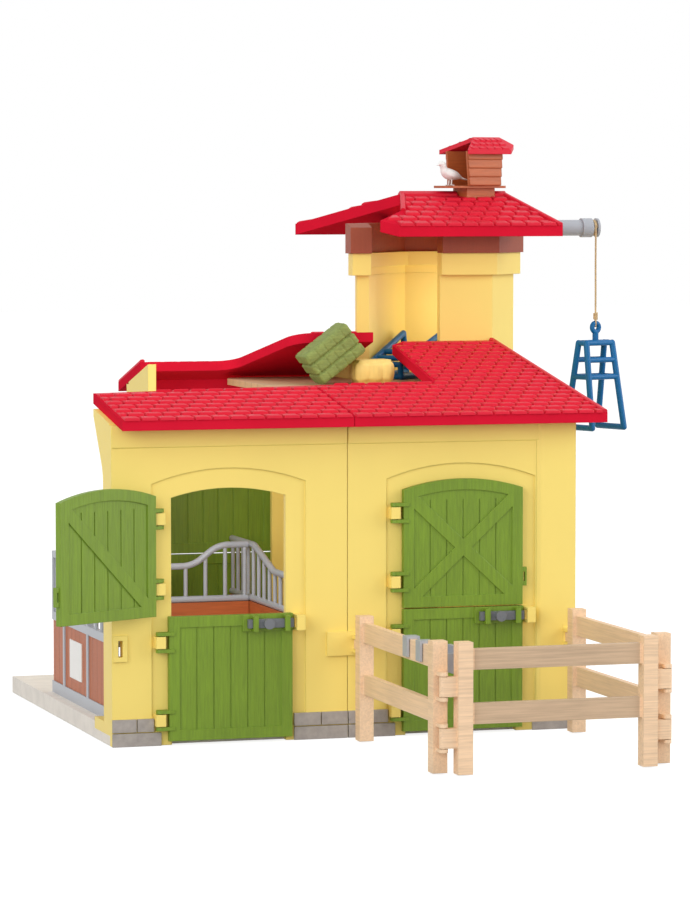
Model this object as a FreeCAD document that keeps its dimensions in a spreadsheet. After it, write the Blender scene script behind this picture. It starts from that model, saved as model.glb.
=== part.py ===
import FreeCAD, Part
import math
import os
import re

from FreeCAD import Placement, Rotation, Vector

# Toy horse stall: a two-door stable front with an open loft, a hoist tower at its back right corner
# and a fenced yard. Millimetres, +X right along the front, +Y to the back, +Z up.
# The origin is the middle of the plinth's underside. Places named in the sheet are counted from the
# front wall's lower left corner, which gx and gy turn into the part's own frame.

# Each row is an alias, its size and what it measures.
SIZES = (
    ("wall_w", 220, "width of the front, two wall panels together"),
    ("wall_t", 4, "moulded wall thickness"),
    ("seam_gap", 0.3, "joint between the two front panels"),
    ("plinth_d", 205, "depth of the base plate"),
    ("plinth_h", 8, "height of the base plate"),
    ("sunk_depth", 0.8, "depth of the sunk field round each door"),
    ("sunk_margin", 7.2, "sunk field beyond the door leaf"),
    ("sunk_crown", 124, "top of the sunk field"),
    ("sunk_foot", 6.5, "foot of the sunk field"),
    ("pier_d", 15.5, "left return of the front wall, between its foot and its bracket"),
    ("pier_wide", 33, "that return at its foot and under the roof"),
    ("pier_foot", 4.5, "underside of its foot, let into the base plate"),
    ("pier_foot_top", 9.8, "top of its foot"),
    ("pier_brace", 122, "where its bracket starts"),
    ("pier_bend", 14, "radius of the bracket"),
    ("gable_d", 43, "left return of the back wall"),
    ("stone_h", 12.2, "height of the stone footing"),
    ("stone_course", 6.4, "height of its lower course"),
    ("stone_out", 1.3, "stones in front of the wall"),
    ("stone_joint", 0.5, "joint between stones"),
    ("stone_end", 22.4, "length of the footing at the left corner"),
    ("stone_clip", 19, "upper course ends beside the lowest hinge clip"),
    ("stone_mid_a", 84.5, "left end of the middle footing"),
    ("stone_mid_b", 132.4, "right end of the middle footing"),
    ("stone_right", 199, "left end of the footing at the right corner"),
    ("slot_x", 2.7, "clip slot in the left pier"),
    ("slot_w", 2.1, "width of the clip slot"),
    ("slot_z", 40.3, "foot of the clip slot"),
    ("slot_h", 7.4, "height of the clip slot"),
    ("slot_rim", 2.2, "raised rim round the clip slot"),
    ("rim_out", 1, "rim in front of the wall"),
    ("door_x", 25.6, "door leaf from the left end of its wall panel"),
    ("door_w", 57.4, "width of a door leaf"),
    ("door_lap", 2, "leaf over the doorway's edge"),
    ("door_foot", 2, "lower leaf above the floor"),
    ("door_split", 58, "top of the lower leaf"),
    ("split_gap", 0.6, "gap between the two leaves"),
    ("door_crown", 117, "crown of the arched upper leaf"),
    ("arch_r", 93.8, "radius of the leaf's arch"),
    ("leaf_t", 3, "thickness of the leaf's rim"),
    ("core_t", 1.8, "thickness of the leaf's boards"),
    ("rim_w", 5, "width of the leaf's rim"),
    ("brace_w", 5.5, "width of the leaf's braces"),
    ("plank_w", 8, "width of a board in the leaf"),
    ("groove_w", 0.5, "groove between boards"),
    ("groove_d", 0.35, "depth of that groove"),
    ("leaf_gap", 0.3, "leaf clear of the wall's face"),
    ("hinge_off", 4, "hinge pin beside the leaf"),
    ("pin_r", 1.2, "radius of the hinge pins"),
    ("pin_fit", 0.05, "running clearance round a pin"),
    ("pin_y", 2.2, "hinge pin in front of the wall"),
    ("knuckle_r", 1.9, "round end of a hinge arm"),
    ("clip_w", 4.4, "width of a hinge clip"),
    ("clip_h", 5.4, "height of a hinge clip"),
    ("run_gap", 0.3, "clearance between moving pieces"),
    ("arm_t", 1.6, "thickness of a hinge arm"),
    ("hinge_z_a", 11.5, "lower leaf, lower hinge"),
    ("hinge_z_b", 46.5, "lower leaf, upper hinge"),
    ("hinge_z_c", 70.5, "upper leaf, lower hinge"),
    ("hinge_z_d", 102, "upper leaf, upper hinge"),
    ("open_turn", 151, "how far the upper left leaf stands open, degrees"),
    ("catch_w", 4.4, "catch at the upper leaf's free edge"),
    ("catch_h", 8.6, "height of that catch"),
    ("catch_up", 8.5, "catch above the upper leaf's foot"),
    ("bolt_z", 54, "height of the sliding bolt"),
    ("bolt_plate_w", 23.4, "plate under the bolt"),
    ("bolt_plate_h", 7.6, "height of that plate"),
    ("bolt_plate_t", 0.8, "plate in front of the leaf's rim"),
    ("bolt_len", 21.2, "length of the bolt"),
    ("bolt_side", 2.2, "depth of the bolt"),
    ("bolt_h", 4, "height of the bolt"),
    ("staple_t", 1.2, "wall of the staples that guide the bolt"),
    ("staple_w", 2.4, "length of a staple along the bolt"),
    ("staple_in", 2.3, "outer staple from the leaf's edge"),
    ("staple_apart", 14.8, "from one staple to the other"),
    ("knob_r", 2.4, "radius of the bolt's knob"),
    ("knob_h", 3, "height of the bolt's knob"),
    ("knob_in", 12.4, "knob from the leaf's edge"),
    ("keeper_gap", 0.8, "keeper beside the leaf"),
    ("keeper_w", 4, "width of the keeper"),
    ("eave_z", 142, "underside of the front eave"),
    ("eave_out", 11, "front eave in front of the wall"),
    ("roof_slope", 9.8, "slope of the front roof, degrees"),
    ("roof_t", 4.7, "upright thickness of the lower roofs"),
    ("rib_t", 3, "locating rib under the back roof"),
    ("rib_z", 145, "foot of that rib"),
    ("roof_left", 2.5, "left verge of the front roof"),
    ("roof_right", 231.5, "right verge of the front roof"),
    ("strip_left", 43.5, "inner edge of the front roof at its left end"),
    ("strip_right", 58, "inner edge of the front roof at the notch"),
    ("notch_x", 170, "left edge of the roof's deep part at the notch"),
    ("tip_x", 176, "left edge of the deep part at its tip"),
    ("tip_cut", 8, "cut corner of the tip"),
    ("back_eave_z", 147.5, "underside of the back eave"),
    ("back_eave_out", 17, "back eave behind the back wall"),
    ("back_slope", 15, "slope of the back roof, degrees"),
    ("back_left", 58.8, "left end of the back wall and roof"),
    ("back_edge_in", 27, "inner edge of the back roof before the back wall"),
    ("back_edge", "=plinth_d - back_edge_in", "inner edge of the back roof at its left end"),
    ("back_edge_fwd", 85, "that edge before the back wall, beside the tower"),
    ("back_edge_high", "=plinth_d - back_edge_fwd", "inner edge beside the tower"),
    ("swoop_x", 105.9, "where that edge turns to the front"),
    ("swoop_run", 15.5, "sideways run of the turned stretch"),
    ("swoop_r", 12, "radius of its two bends"),
    ("loft_top", 155.2, "top of the loft floor"),
    ("loft_t", 3, "thickness of the loft floor"),
    ("loft_left", 103.5, "left end of the loft floor"),
    ("loft_front", 66, "front edge of the loft floor"),
    ("loft_right", 212, "right end of the loft floor"),
    ("loft_back_in", 14, "loft floor before the back wall"),
    ("loft_back", "=plinth_d - loft_back_in", "back edge of the loft floor"),
    ("loft_corner", 14, "rounded corner of the loft floor"),
    ("post_side", 5, "square post under the loft floor"),
    ("part_x", 112, "middle of the stall partition"),
    ("board_t", 3, "thickness of the stall boards"),
    ("board_top", 46, "top of the partition's boards"),
    ("bar_r", 1, "radius of a grille bar"),
    ("bar_step", 9, "grille bar spacing"),
    ("rail_r", 1.6, "radius of a grille's top rail"),
    ("grille_low", 64, "low end of a grille's top rail"),
    ("grille_high", 74, "high end of a grille's top rail"),
    ("grille_bend", 16, "radius of the top rail's bends"),
    ("cross_in", 39, "cross grille before the back wall"),
    ("cross_y", "=plinth_d - cross_in", "cross grille behind the left stall"),
    ("stall_x", 5.2, "outer face of the stall front on the left side"),
    ("stall_t", 3, "thickness of the stall front's frame"),
    ("stall_end", 140, "back end of the stall front"),
    ("stall_bays", 3, "bays of the stall front"),
    ("stall_first", 20.3, "first post of the stall front"),
    ("stall_pitch", 47.2, "from post to post"),
    ("sill_h", 5.6, "height of the stall front's sill"),
    ("stall_mid", 43, "foot of the stall front's middle rail"),
    ("stall_rail", 4, "height of the middle rail"),
    ("stall_top", 76, "top of the stall front"),
    ("panel_t", 1.6, "stall boards between the posts"),
    ("plate_t", 0.6, "blank name plate on the stall boards"),
    ("plate_w", 23, "width of the name plate"),
    ("plate_h", 18, "height of the name plate"),
    ("tower_x", 160.4, "left face of the tower"),
    ("tower_d", 58.5, "depth of the tower"),
    ("tower_y", "=plinth_d - tower_d", "front face of the tower"),
    ("tower_w", 87.4, "width of the tower"),
    ("jamb_w", 6.3, "left jamb of the tower's opening"),
    ("niche_end", 203.3, "right side of the tower's opening"),
    ("chamfer_f", 17, "front right chamfer of the tower"),
    ("chamfer_b", 20, "back right chamfer of the tower"),
    ("corner_run", 2.7, "left face of the tower before its cut corner"),
    ("corner_y", "=tower_y + corner_run", "front end of the tower's cut back left corner"),
    ("corner_x", 201, "back end of that cut corner"),
    ("inner_run", 6.5, "left jamb's depth inside the tower"),
    ("inner_y", "=tower_y + inner_run", "front end of the cut corner's inner face"),
    ("inner_x", 203, "back end of that inner face"),
    ("collar_z", 206.4, "foot of the tower's collar"),
    ("frieze_z", 217.2, "foot of the tower's frieze"),
    ("collar_out", 3.2, "collar beyond the shaft"),
    ("frieze_out", 4.6, "frieze beyond the shaft"),
    ("ledge_t", 2, "ledge inside the tower's collar"),
    ("ledge_z", 210.3, "foot of that ledge"),
    ("frieze_open", 231.8, "top of the frieze beside the tower's opening"),
    ("cap_out", 18.5, "tower's front eave before its face"),
    ("cap_y", "=tower_y - cap_out", "front eave of the tower roof"),
    ("cap_z", 225.5, "underside of the tower roof's eave"),
    ("cap_slope", 17.5, "slope of the tower roof, degrees"),
    ("cap_t", 5.5, "upright thickness of the tower roof"),
    ("cap_half", 48, "eave to ridge, level"),
    ("cap_front_l", 168.8, "left end of the tower's front eave"),
    ("cap_cut", 7.2, "cut corner of that eave"),
    ("cap_nook_x", 184, "notch in the front slope's left edge"),
    ("cap_nook", 22, "that notch behind the eave"),
    ("cap_right", 260.9, "right end of the tower's eaves"),
    ("cap_ridge_l", 192, "left end of the ridge"),
    ("cap_ridge_r", 247.5, "right end of the ridge"),
    ("cap_back_l", 152, "left end of the tower's back eave"),
    ("cap_split", 0.1, "joint along the ridge"),
    ("cote_turn", 16, "turn of the dovecote on the ridge, degrees"),
    ("cote_x", 230.8, "middle of the dovecote"),
    ("cote_off", 1, "dovecote's middle before the ridge"),
    ("cote_y", "=cap_y + cap_half - cote_off", "middle of the dovecote, from the front"),
    ("cote_w", 17, "width of the dovecote's foot"),
    ("cote_d", 12, "depth of the dovecote's foot"),
    ("perch_z", 249.1, "underside of the perch plate"),
    ("perch_t", 1.2, "thickness of the perch plate"),
    ("perch_l", 18.5, "perch plate to the left of the dovecote's middle"),
    ("perch_r", 13.5, "perch plate to the right"),
    ("perch_d", 17, "depth of the perch plate"),
    ("house_w", 19, "width of the house at its foot"),
    ("house_d", 19, "depth of the house"),
    ("house_flare", 1.2, "house wider at its top, each side"),
    ("house_h", 17.2, "height of the house"),
    ("house_t", 1.4, "wall of the house"),
    ("lid_half", 12.5, "dovecote roof, eave to ridge, level"),
    ("lid_rise", 6.4, "dovecote roof, eave to ridge, upright"),
    ("lid_t", 2.2, "upright thickness of the dovecote roof"),
    ("lid_left", 12.5, "left end of the dovecote's back eave"),
    ("lid_front_l", 12.5, "left end of the dovecote's front eave"),
    ("lid_right", 19, "right point of the dovecote's roof"),
    ("lid_corner", 5, "cut corners at the right"),
    ("lid_ridge_l", 0.5, "left end of the dovecote's ridge"),
    ("lid_ridge_r", 15.5, "right end of the dovecote's ridge"),
    ("dove_x", 13.2, "dove to the left of the dovecote's middle"),
    ("dove_len", 5.2, "half length of the dove's body"),
    ("dove_r", 2.5, "half width of the dove's body"),
    ("dove_head", 1.9, "radius of the dove's head"),
    ("dove_leg", 1.6, "dove's body above the perch"),
    ("arm_in", 18.5, "crane arm behind the tower's face"),
    ("arm_y", "=tower_y + arm_in", "crane arm, from the front"),
    ("arm_z", 229.2, "height of the crane arm"),
    ("arm_r", 4, "radius of the crane arm"),
    ("arm_end", 284.2, "outer end of the crane arm"),
    ("spindle_r", 1.5, "spindle that carries the rope guide"),
    ("guide_end", 293.2, "outer end of the rope guide"),
    ("guide_r", 4.8, "radius of the guide's flanges"),
    ("groove_r", 3, "radius of the guide's groove"),
    ("flange_t", 1.1, "outer flange of the guide"),
    ("guide_slot", 2.4, "width of the guide's groove"),
    ("rope_r", 0.5, "radius of the hoist rope"),
    ("rope_foot", 182.6, "lower end of the hoist rope"),
    ("ring_r", 2.2, "rack's lifting ring, to the middle of its wire"),
    ("rack_top", 173, "rack's upper rail when it hangs"),
    ("rack_foot", 127.5, "rack's feet when it hangs"),
    ("rack_w", 17, "rack's width at the upper rail"),
    ("rack_spread", 21, "rack's width at its feet"),
    ("rack_d", 6, "rack's depth at the upper rail"),
    ("rack_splay", 20, "rack's depth at its feet"),
    ("rack_r", 1.55, "radius of the rack's bars"),
    ("rack_shelf", 17, "rack's shelf below the upper rail"),
    ("rack_mid", 8.5, "rack's middle bars below the upper rail"),
    ("rack_turn", 20, "turn of the hanging rack, degrees"),
    ("rack_lie_turn", 45, "turn of the lying rack, degrees"),
    ("rack_lie_x", 206, "lying rack's feet, from the left"),
    ("rack_lie_in", 31.5, "lying rack's feet behind the tower's face"),
    ("rack_lie_y", "=tower_y + rack_lie_in", "lying rack's feet, from the front"),
    ("bale_l", 27, "length of the hay bale"),
    ("bale_h", 17.8, "height of the hay bale"),
    ("bale_d", 18, "depth of the hay bale"),
    ("bale_tilt", 37, "lean of the hay bale, degrees"),
    ("bale_x", 135.6, "middle of the hay bale"),
    ("bale_off", 36.5, "middle of the hay bale before the tower's face"),
    ("bale_y", "=tower_y - bale_off", "middle of the hay bale, from the front"),
    ("bale_nick", 1, "depth of the cord grooves in the bale"),
    ("straw_x", 146.5, "left end of the straw bundle"),
    ("straw_off", 34.5, "middle of the straw bundle before the tower's face"),
    ("straw_y", "=tower_y - straw_off", "middle of the straw bundle, from the front"),
    ("straw_w", 21, "length of the straw bundle"),
    ("straw_h", 11.8, "height of the straw bundle"),
    ("straw_d", 17, "depth of the straw bundle"),
    ("straw_lobes", 3, "lobes of the straw bundle"),
    ("fence_l", 113.5, "pivot line of the left fence panel"),
    ("fence_r", 215.5, "pivot line of the right fence panel"),
    ("fence_y", 5, "wall pivots in front of the wall"),
    ("fence_d", 121, "wall pivot to corner pivot"),
    ("fence_post", 6.6, "square fence post"),
    ("fence_top", 57, "top of the fence posts"),
    ("fence_lift", 0.4, "fence posts clear of the floor"),
    ("fence_rail_t", 3, "thickness of the fence rails"),
    ("fence_rail_h", 9, "height of the fence rails"),
    ("fence_rail_a", 21.7, "foot of the lower rail"),
    ("fence_rail_b", 45, "foot of the upper rail"),
    ("fence_back", 6.4, "back post from the wall pivot"),
    ("fence_corner", 4.5, "front post from the corner pivot"),
    ("fence_side", 5.6, "front panel's posts from the corner pivots"),
    ("lug_h", 4, "height of a fence lug"),
    ("corner_lug_h", 8.5, "height of a corner lug"),
    ("lug_z", 43, "height of the wall lugs"),
    ("lug_low", 16, "height of the lower corner lugs"),
    ("lug_high", 38, "height of the upper corner lugs"),
    ("open_fit", 0.3, "clearance at the corner hook that unclips"),
    ("clip_plate", 1.2, "thickness of the fence clip's plate"),
    ("clip_plate_l", 100, "left end of the clip plate over the seam"),
    ("clip_plate_h", 11, "height of the clip plate"),
    ("trough_y", 108, "front end of the feed trough"),
    ("trough_l", 34, "length of the feed trough"),
    ("trough_r", 9, "outer radius of the feed trough"),
    ("trough_t", 1.3, "wall of the feed trough"),
    ("trough_rim", 50, "rim of the feed trough"),
    ("strap_w", 6, "width of a trough hook"),
    ("strap_t", 1.2, "thickness of a trough hook"),
    ("strap_in", 5, "trough hook from the trough's end"),
)

doc = FreeCAD.newDocument("horse_stall")
sheet = doc.addObject("Spreadsheet::Sheet", "dims")
for row, (alias, size, note) in enumerate(SIZES, 1):
    sheet.set("A%d" % row, alias)
    sheet.set("B%d" % row, str(size))
    sheet.setAlias("B%d" % row, alias)
    sheet.set("C%d" % row, note)
doc.recompute()

nodes = []
EDGE = "wall_t"


def formula(text):
    """A formula on the sheet: every alias has an underscore, every function name has none."""
    return re.sub(r"\b([a-z]+_\w+)\b", r"dims.\1", text)


def num(text):
    """The value of a formula."""
    return float(sheet.evalExpression(formula(text)))


def nums(*texts):
    return [num(text) for text in texts]


def gx(text):
    """A place counted from the front's left end."""
    return "-wall_w / 2 + (%s)" % text


def gy(text):
    """A place counted from the front wall's face."""
    return "-plinth_d / 2 + (%s)" % text


def bind(item, **sizes):
    for prop, text in sizes.items():
        item.setExpression(prop, formula(text))


def place(item, x, y, z, turn=None):
    """Binds an object's place, and its turn about Z if it has one."""
    for key, text in zip("xyz", (x, y, z)):
        item.setExpression("Placement.Base." + key, formula(text))
    if turn is not None:
        item.setExpression("Placement.Rotation.Angle", formula(turn))
    return item


def node(item, label):
    """Names a finished sub-part."""
    item.Label = label
    nodes.append(item)
    return item


def box(x, y, z, dx, dy, dz):
    item = doc.addObject("Part::Box", "block")
    bind(item, Length=dx, Width=dy, Height=dz)
    return place(item, x, y, z)


TURNS = {"x": Rotation(Vector(0, 1, 0), 90), "y": Rotation(Vector(1, 0, 0), -90), "z": Rotation()}


def rod(axis, x, y, z, radius, length):
    """A cylinder that starts at x, y, z and runs along the axis."""
    item = doc.addObject("Part::Cylinder", "rod")
    bind(item, Radius=radius, Height=length)
    item.Placement = Placement(Vector(), TURNS[axis])
    return place(item, x, y, z)


def fuse(parts):
    item = doc.addObject("Part::MultiFuse", "joined")
    item.Shapes = parts
    return item


def cut(base, tools):
    item = doc.addObject("Part::Cut", "cut")
    item.Base = base
    item.Tool = tools[0] if len(tools) == 1 else fuse(tools)
    return item


def common(first, second):
    item = doc.addObject("Part::MultiCommon", "shared")
    item.Shapes = [first, second]
    return item


def group(parts):
    """Several solids, or one that is to be carried, as one object."""
    item = doc.addObject("Part::Compound", "group")
    item.Links = parts
    return item


def feature(shape):
    item = doc.addObject("Part::Feature", "solid")
    item.Shape = shape
    return item


def outline(points, bends=None):
    """A closed wire through points; bends gives a corner's number and its radius."""
    bends = bends or {}
    edges = []
    count = len(points)
    last = None
    first = None
    for i, corner in enumerate(points):
        radius = bends.get(i, 0)
        if radius:
            start, edge, end = corner_arc(points[i - 1], corner, points[(i + 1) % count], radius)
        else:
            start, edge, end = corner, None, corner
        if last is not None:
            edges.append(Part.LineSegment(last, start).toShape())
        else:
            first = start
        if edge is not None:
            edges.append(edge)
        last = end
    edges.append(Part.LineSegment(last, first).toShape())
    return Part.Wire(edges)


def corner_arc(before, corner, after, radius):
    """The arc that rounds one corner of a path, with its two ends."""
    a = (before - corner).normalize()
    b = (after - corner).normalize()
    half = a.getAngle(b) / 2
    reach = radius / math.tan(half)
    start = corner + a * reach
    end = corner + b * reach
    middle = corner + (a + b).normalize() * (radius / math.sin(half) - radius)
    return start, Part.Arc(start, middle, end).toShape(), end


def prism(points, run, bends=None):
    """A flat outline carried along run."""
    face = Part.Face(outline(points, bends))
    return face.extrude(run)


def slab_yz(pairs, x0, x1, bends=None):
    """An outline in Y and Z carried from x0 to x1."""
    points = [Vector(x0, y, z) for y, z in pairs]
    return prism(points, Vector(x1 - x0, 0, 0), bends)


def slab_xz(pairs, y0, y1):
    """An outline in X and Z carried from y0 to y1."""
    points = [Vector(x, y0, z) for x, z in pairs]
    return prism(points, Vector(0, y1 - y0, 0))


def slab_xy(pairs, z0, z1, bends=None):
    """An outline in X and Y carried from z0 to z1."""
    points = [Vector(x, y, z0) for x, y in pairs]
    return prism(points, Vector(0, 0, z1 - z0), bends)


def tube(points, radius, bends=None):
    """A round bar along straight runs, with rounded corners where bends gives a radius."""
    bends = bends or {}
    edges = []
    last = points[0]
    for i in range(1, len(points) - 1):
        if i in bends:
            start, edge, end = corner_arc(points[i - 1], points[i], points[i + 1], bends[i])
            edges += [Part.LineSegment(last, start).toShape(), edge]
            last = end
        else:
            edges.append(Part.LineSegment(last, points[i]).toShape())
            last = points[i]
    edges.append(Part.LineSegment(last, points[-1]).toShape())
    path = Part.Wire(edges)
    ring = Part.Wire([Part.Circle(points[0], points[1] - points[0], radius).toShape()])
    return path.makePipeShell([ring], True, False, 2)


def bar(start, end, radius):
    """A straight round bar between two points."""
    run = end - start
    return Part.makeCylinder(radius, run.Length, start, run)


def arched(x, y, z, width, depth, crown, radius):
    """A block with an arched top: a box below a lying cylinder."""
    block = box(x, y, z, width, depth, "%s - (%s)" % (crown, z))
    vault = rod("y", "%s + (%s) / 2" % (x, width), y, "%s - (%s)" % (crown, radius), radius, depth)
    return common(block, vault)


# Base

def plinth():
    """The base plate, cut out round the tower and where the left pier stands."""
    plate = box(gx("0"), gy("wall_t"), "0", "wall_w", "plinth_d - wall_t", "plinth_h")
    corner = box(gx("tower_x"), gy("tower_y"), "-" + EDGE, "wall_w", "plinth_d", "plinth_h + 2 * " + EDGE)
    seat = box(gx("-" + EDGE), gy("0"), "pier_foot", "wall_t + " + EDGE, "pier_wide", "plinth_h")
    node(cut(plate, [corner, seat]), "plinth")


def stone_footings():
    """Two courses of stones at the foot of the front, split by open joints."""
    def course(x0, x1, z0, z1):
        return box(gx(x0), gy("-stone_out"), z0, "%s - (%s)" % (x1, x0), "stone_out", "%s - (%s)" % (z1, z0))

    low, high = "stone_course - stone_joint", "stone_h"
    middle = "wall_w / 2"
    stones = [
        course("0", "stone_end", "0", low),
        course("0", "(stone_end - stone_joint) / 2", "stone_course", high),
        course("(stone_end + stone_joint) / 2", "stone_clip", "stone_course", high),
        course("stone_mid_a", middle + " - stone_joint / 2", "0", low),
        course("stone_mid_a", "(stone_mid_a + wall_w / 2 - stone_joint) / 2", "stone_course", high),
        course("(stone_mid_a + wall_w / 2 + stone_joint) / 2", middle + " - stone_joint / 2",
               "stone_course", high),
        course(middle + " + stone_joint / 2", "stone_mid_b", "0", low),
        course(middle + " + stone_joint / 2", middle + " + stone_clip", "stone_course", high),
        course("stone_right", "wall_w", "0", low),
        course("stone_right", "(stone_right + wall_w - stone_joint) / 2", "stone_course", high),
        course("(stone_right + wall_w + stone_joint) / 2", "wall_w", "stone_course", high),
    ]
    node(group(stones), "stone_footings")


# Walls

FRONT_H = "eave_z + eave_out * tan(roof_slope)"
BACK_H = "back_eave_z + back_eave_out * tan(back_slope) - plinth_h"
PANEL_W = "(wall_w - seam_gap) / 2"
BACK_W = "tower_x - back_left"
LEAF_END = "hinge_off + door_w"
# The leaf's own frame has its origin on the hinge pin: face is the outer side of its rim.
LEAF_FACE = "pin_y - leaf_gap - leaf_t"
CORE_FACE = "pin_y - leaf_gap - (leaf_t + core_t) / 2"
WALL_FACE = "pin_y + sunk_depth"
BOLT_FACE = LEAF_FACE + " - bolt_plate_t - run_gap - bolt_side"


def keeper(door):
    """The block beside the leaf that takes the bolt's tip."""
    x = "%s - hinge_off + %s + keeper_gap" % (door, LEAF_END)
    y = "%s - staple_t - run_gap - pin_y" % BOLT_FACE
    depth = "%s - (%s - staple_t - run_gap)" % (WALL_FACE, BOLT_FACE)
    height = "bolt_h + 2 * run_gap + 2 * staple_t"
    body = box(x, y, "bolt_z - (%s) / 2" % height, "keeper_w", depth, height)
    slot = box("%s - %s" % (x, EDGE), "%s - run_gap - pin_y" % BOLT_FACE, "bolt_z - bolt_h / 2 - run_gap",
               "keeper_w + 2 * %s" % EDGE, "bolt_side + 2 * run_gap", "bolt_h + 2 * run_gap")
    return cut(body, [slot])


def door_wall(width, door, height):
    """A wall panel in its own frame: sunk field, arched doorway, keeper. Its face is y = 0."""
    panel = box("0", "0", "0", width, "wall_t", height)
    field = arched("%s - sunk_margin" % door, "-" + EDGE, "sunk_foot", "door_w + 2 * sunk_margin",
                   "sunk_depth + %s" % EDGE, "sunk_crown", "arch_r + sunk_crown - door_crown")
    doorway = arched("%s + door_lap" % door, "-" + EDGE, "-" + EDGE, "door_w - 2 * door_lap",
                     "wall_t + 2 * %s" % EDGE, "door_crown - door_lap", "arch_r - door_lap")
    return [cut(panel, [field, doorway]), keeper(door)]


def side_return(x0, x1, depth, height, slope, foot="plinth_h"):
    """A wall return under the roof's slope, seated on the base plate."""
    y0, y1, top, foot = nums("wall_t", depth, height, foot)
    rise = math.tan(math.radians(num(slope)))
    pairs = [(y0, foot), (y1, foot), (y1, top + y1 * rise), (y0, top + y0 * rise)]
    return feature(slab_yz(pairs, num(x0), num(x1)))


def pier():
    """The left return of the front: a long foot, a short middle, and a bracket up to the roof."""
    y0, y1, y2, foot, top = nums("wall_t", "pier_d", "pier_wide", "pier_foot", "pier_foot_top")
    brace_z, height, slope, bend = nums("pier_brace", FRONT_H, "roof_slope", "pier_bend")
    rise = math.tan(math.radians(slope))
    pairs = [(y0, foot), (y2, foot), (y2, top), (y1, top), (y1, brace_z), (y2, height + y1 * rise - rise),
             (y2, height + y2 * rise), (y0, height + y0 * rise)]
    return feature(slab_yz(pairs, 0, num("wall_t"), {4: bend}))


def walls():
    """The two front panels, the right side wall and the back wall."""
    left = door_wall(PANEL_W, "door_x", FRONT_H)
    rim = box("slot_x - slot_rim", "-rim_out", "slot_z - slot_rim", "slot_w + 2 * slot_rim", "rim_out",
              "slot_h + 2 * slot_rim")
    slot = box("slot_x", "-rim_out - %s" % EDGE, "slot_z", "slot_w", "rim_out + 2 * %s + wall_t" % EDGE,
               "slot_h")
    left += [rim, pier()]
    node(place(cut(fuse(left), [slot]), gx("0"), gy("0"), "0"), "front_wall_left")

    right = door_wall(PANEL_W, "door_x", FRONT_H)
    node(place(fuse(right), gx("(wall_w + seam_gap) / 2"), gy("0"), "0"), "front_wall_right")

    back = door_wall(BACK_W, "door_x", BACK_H)
    back.append(side_return(BACK_W + " - wall_t", BACK_W, "gable_d", BACK_H, "back_slope", "0"))
    node(place(fuse(back), gx("tower_x"), gy("plinth_d"), "plinth_h", "180"), "back_wall")

    side = side_return("wall_w - wall_t", "wall_w", "tower_y", FRONT_H, "roof_slope")
    node(place(side, gx("0"), gy("0"), "0"), "right_side_wall")


# Doors

# Where each wall's hinge line stands, and the wall's turn.
PANELS = {
    "left": (gx("door_x - hinge_off"), gy("-pin_y"), "0", "0"),
    "right": (gx("(wall_w + seam_gap) / 2 + door_x - hinge_off"), gy("-pin_y"), "0", "0"),
    "back": (gx("tower_x - door_x + hinge_off"), gy("plinth_d + pin_y"), "plinth_h", "180"),
}
LOWER_HINGES = ("hinge_z_a", "hinge_z_b")
UPPER_HINGES = ("hinge_z_c", "hinge_z_d")


def hinge_clips(side):
    """Four clips on the wall, each round one hinge pin."""
    clips = []
    for z in LOWER_HINGES + UPPER_HINGES:
        foot = "%s - clip_h / 2" % z
        block = box("-clip_w / 2", "-clip_w / 2", foot, "clip_w", "clip_w / 2 + %s" % WALL_FACE, "clip_h")
        bore = rod("z", "0", "0", "%s - %s" % (foot, EDGE), "pin_r + pin_fit", "clip_h + 2 * %s" % EDGE)
        clips.append(cut(block, [bore]))
    node(place(group(clips), *PANELS[side]), "hinge_clips_" + side)


def hinge_loops(heights):
    """On the leaf: two arms and the pin between them at each hinge."""
    parts = []
    for z in heights:
        low = "%s - clip_h / 2 - run_gap - arm_t" % z
        high = "%s + clip_h / 2 + run_gap" % z
        for foot in (low, high):
            parts.append(box("0", "-knuckle_r", foot, "hinge_off + rim_w / 2",
                             "knuckle_r + pin_y - leaf_gap", "arm_t"))
            parts.append(rod("z", "0", "0", foot, "knuckle_r", "arm_t"))
        parts.append(rod("z", "0", "0", low, "pin_r", "clip_h + 2 * run_gap + 2 * arm_t"))
    return parts


def grooves(foot, top):
    """Grooves between the leaf's boards, on both faces."""
    width, plank = nums("door_w - 2 * rim_w", "plank_w")
    count = max(1, round(width / plank))
    tools = []
    for i in range(1, count):
        x = "hinge_off + rim_w + (door_w - 2 * rim_w) * %d / %d - groove_w / 2" % (i, count)
        for y in (CORE_FACE + " - " + EDGE, CORE_FACE + " + core_t - groove_d"):
            depth = "groove_d + " + EDGE
            tools.append(box(x, y, foot, "groove_w", depth, "%s - (%s)" % (top, foot)))
    return tools


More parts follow.
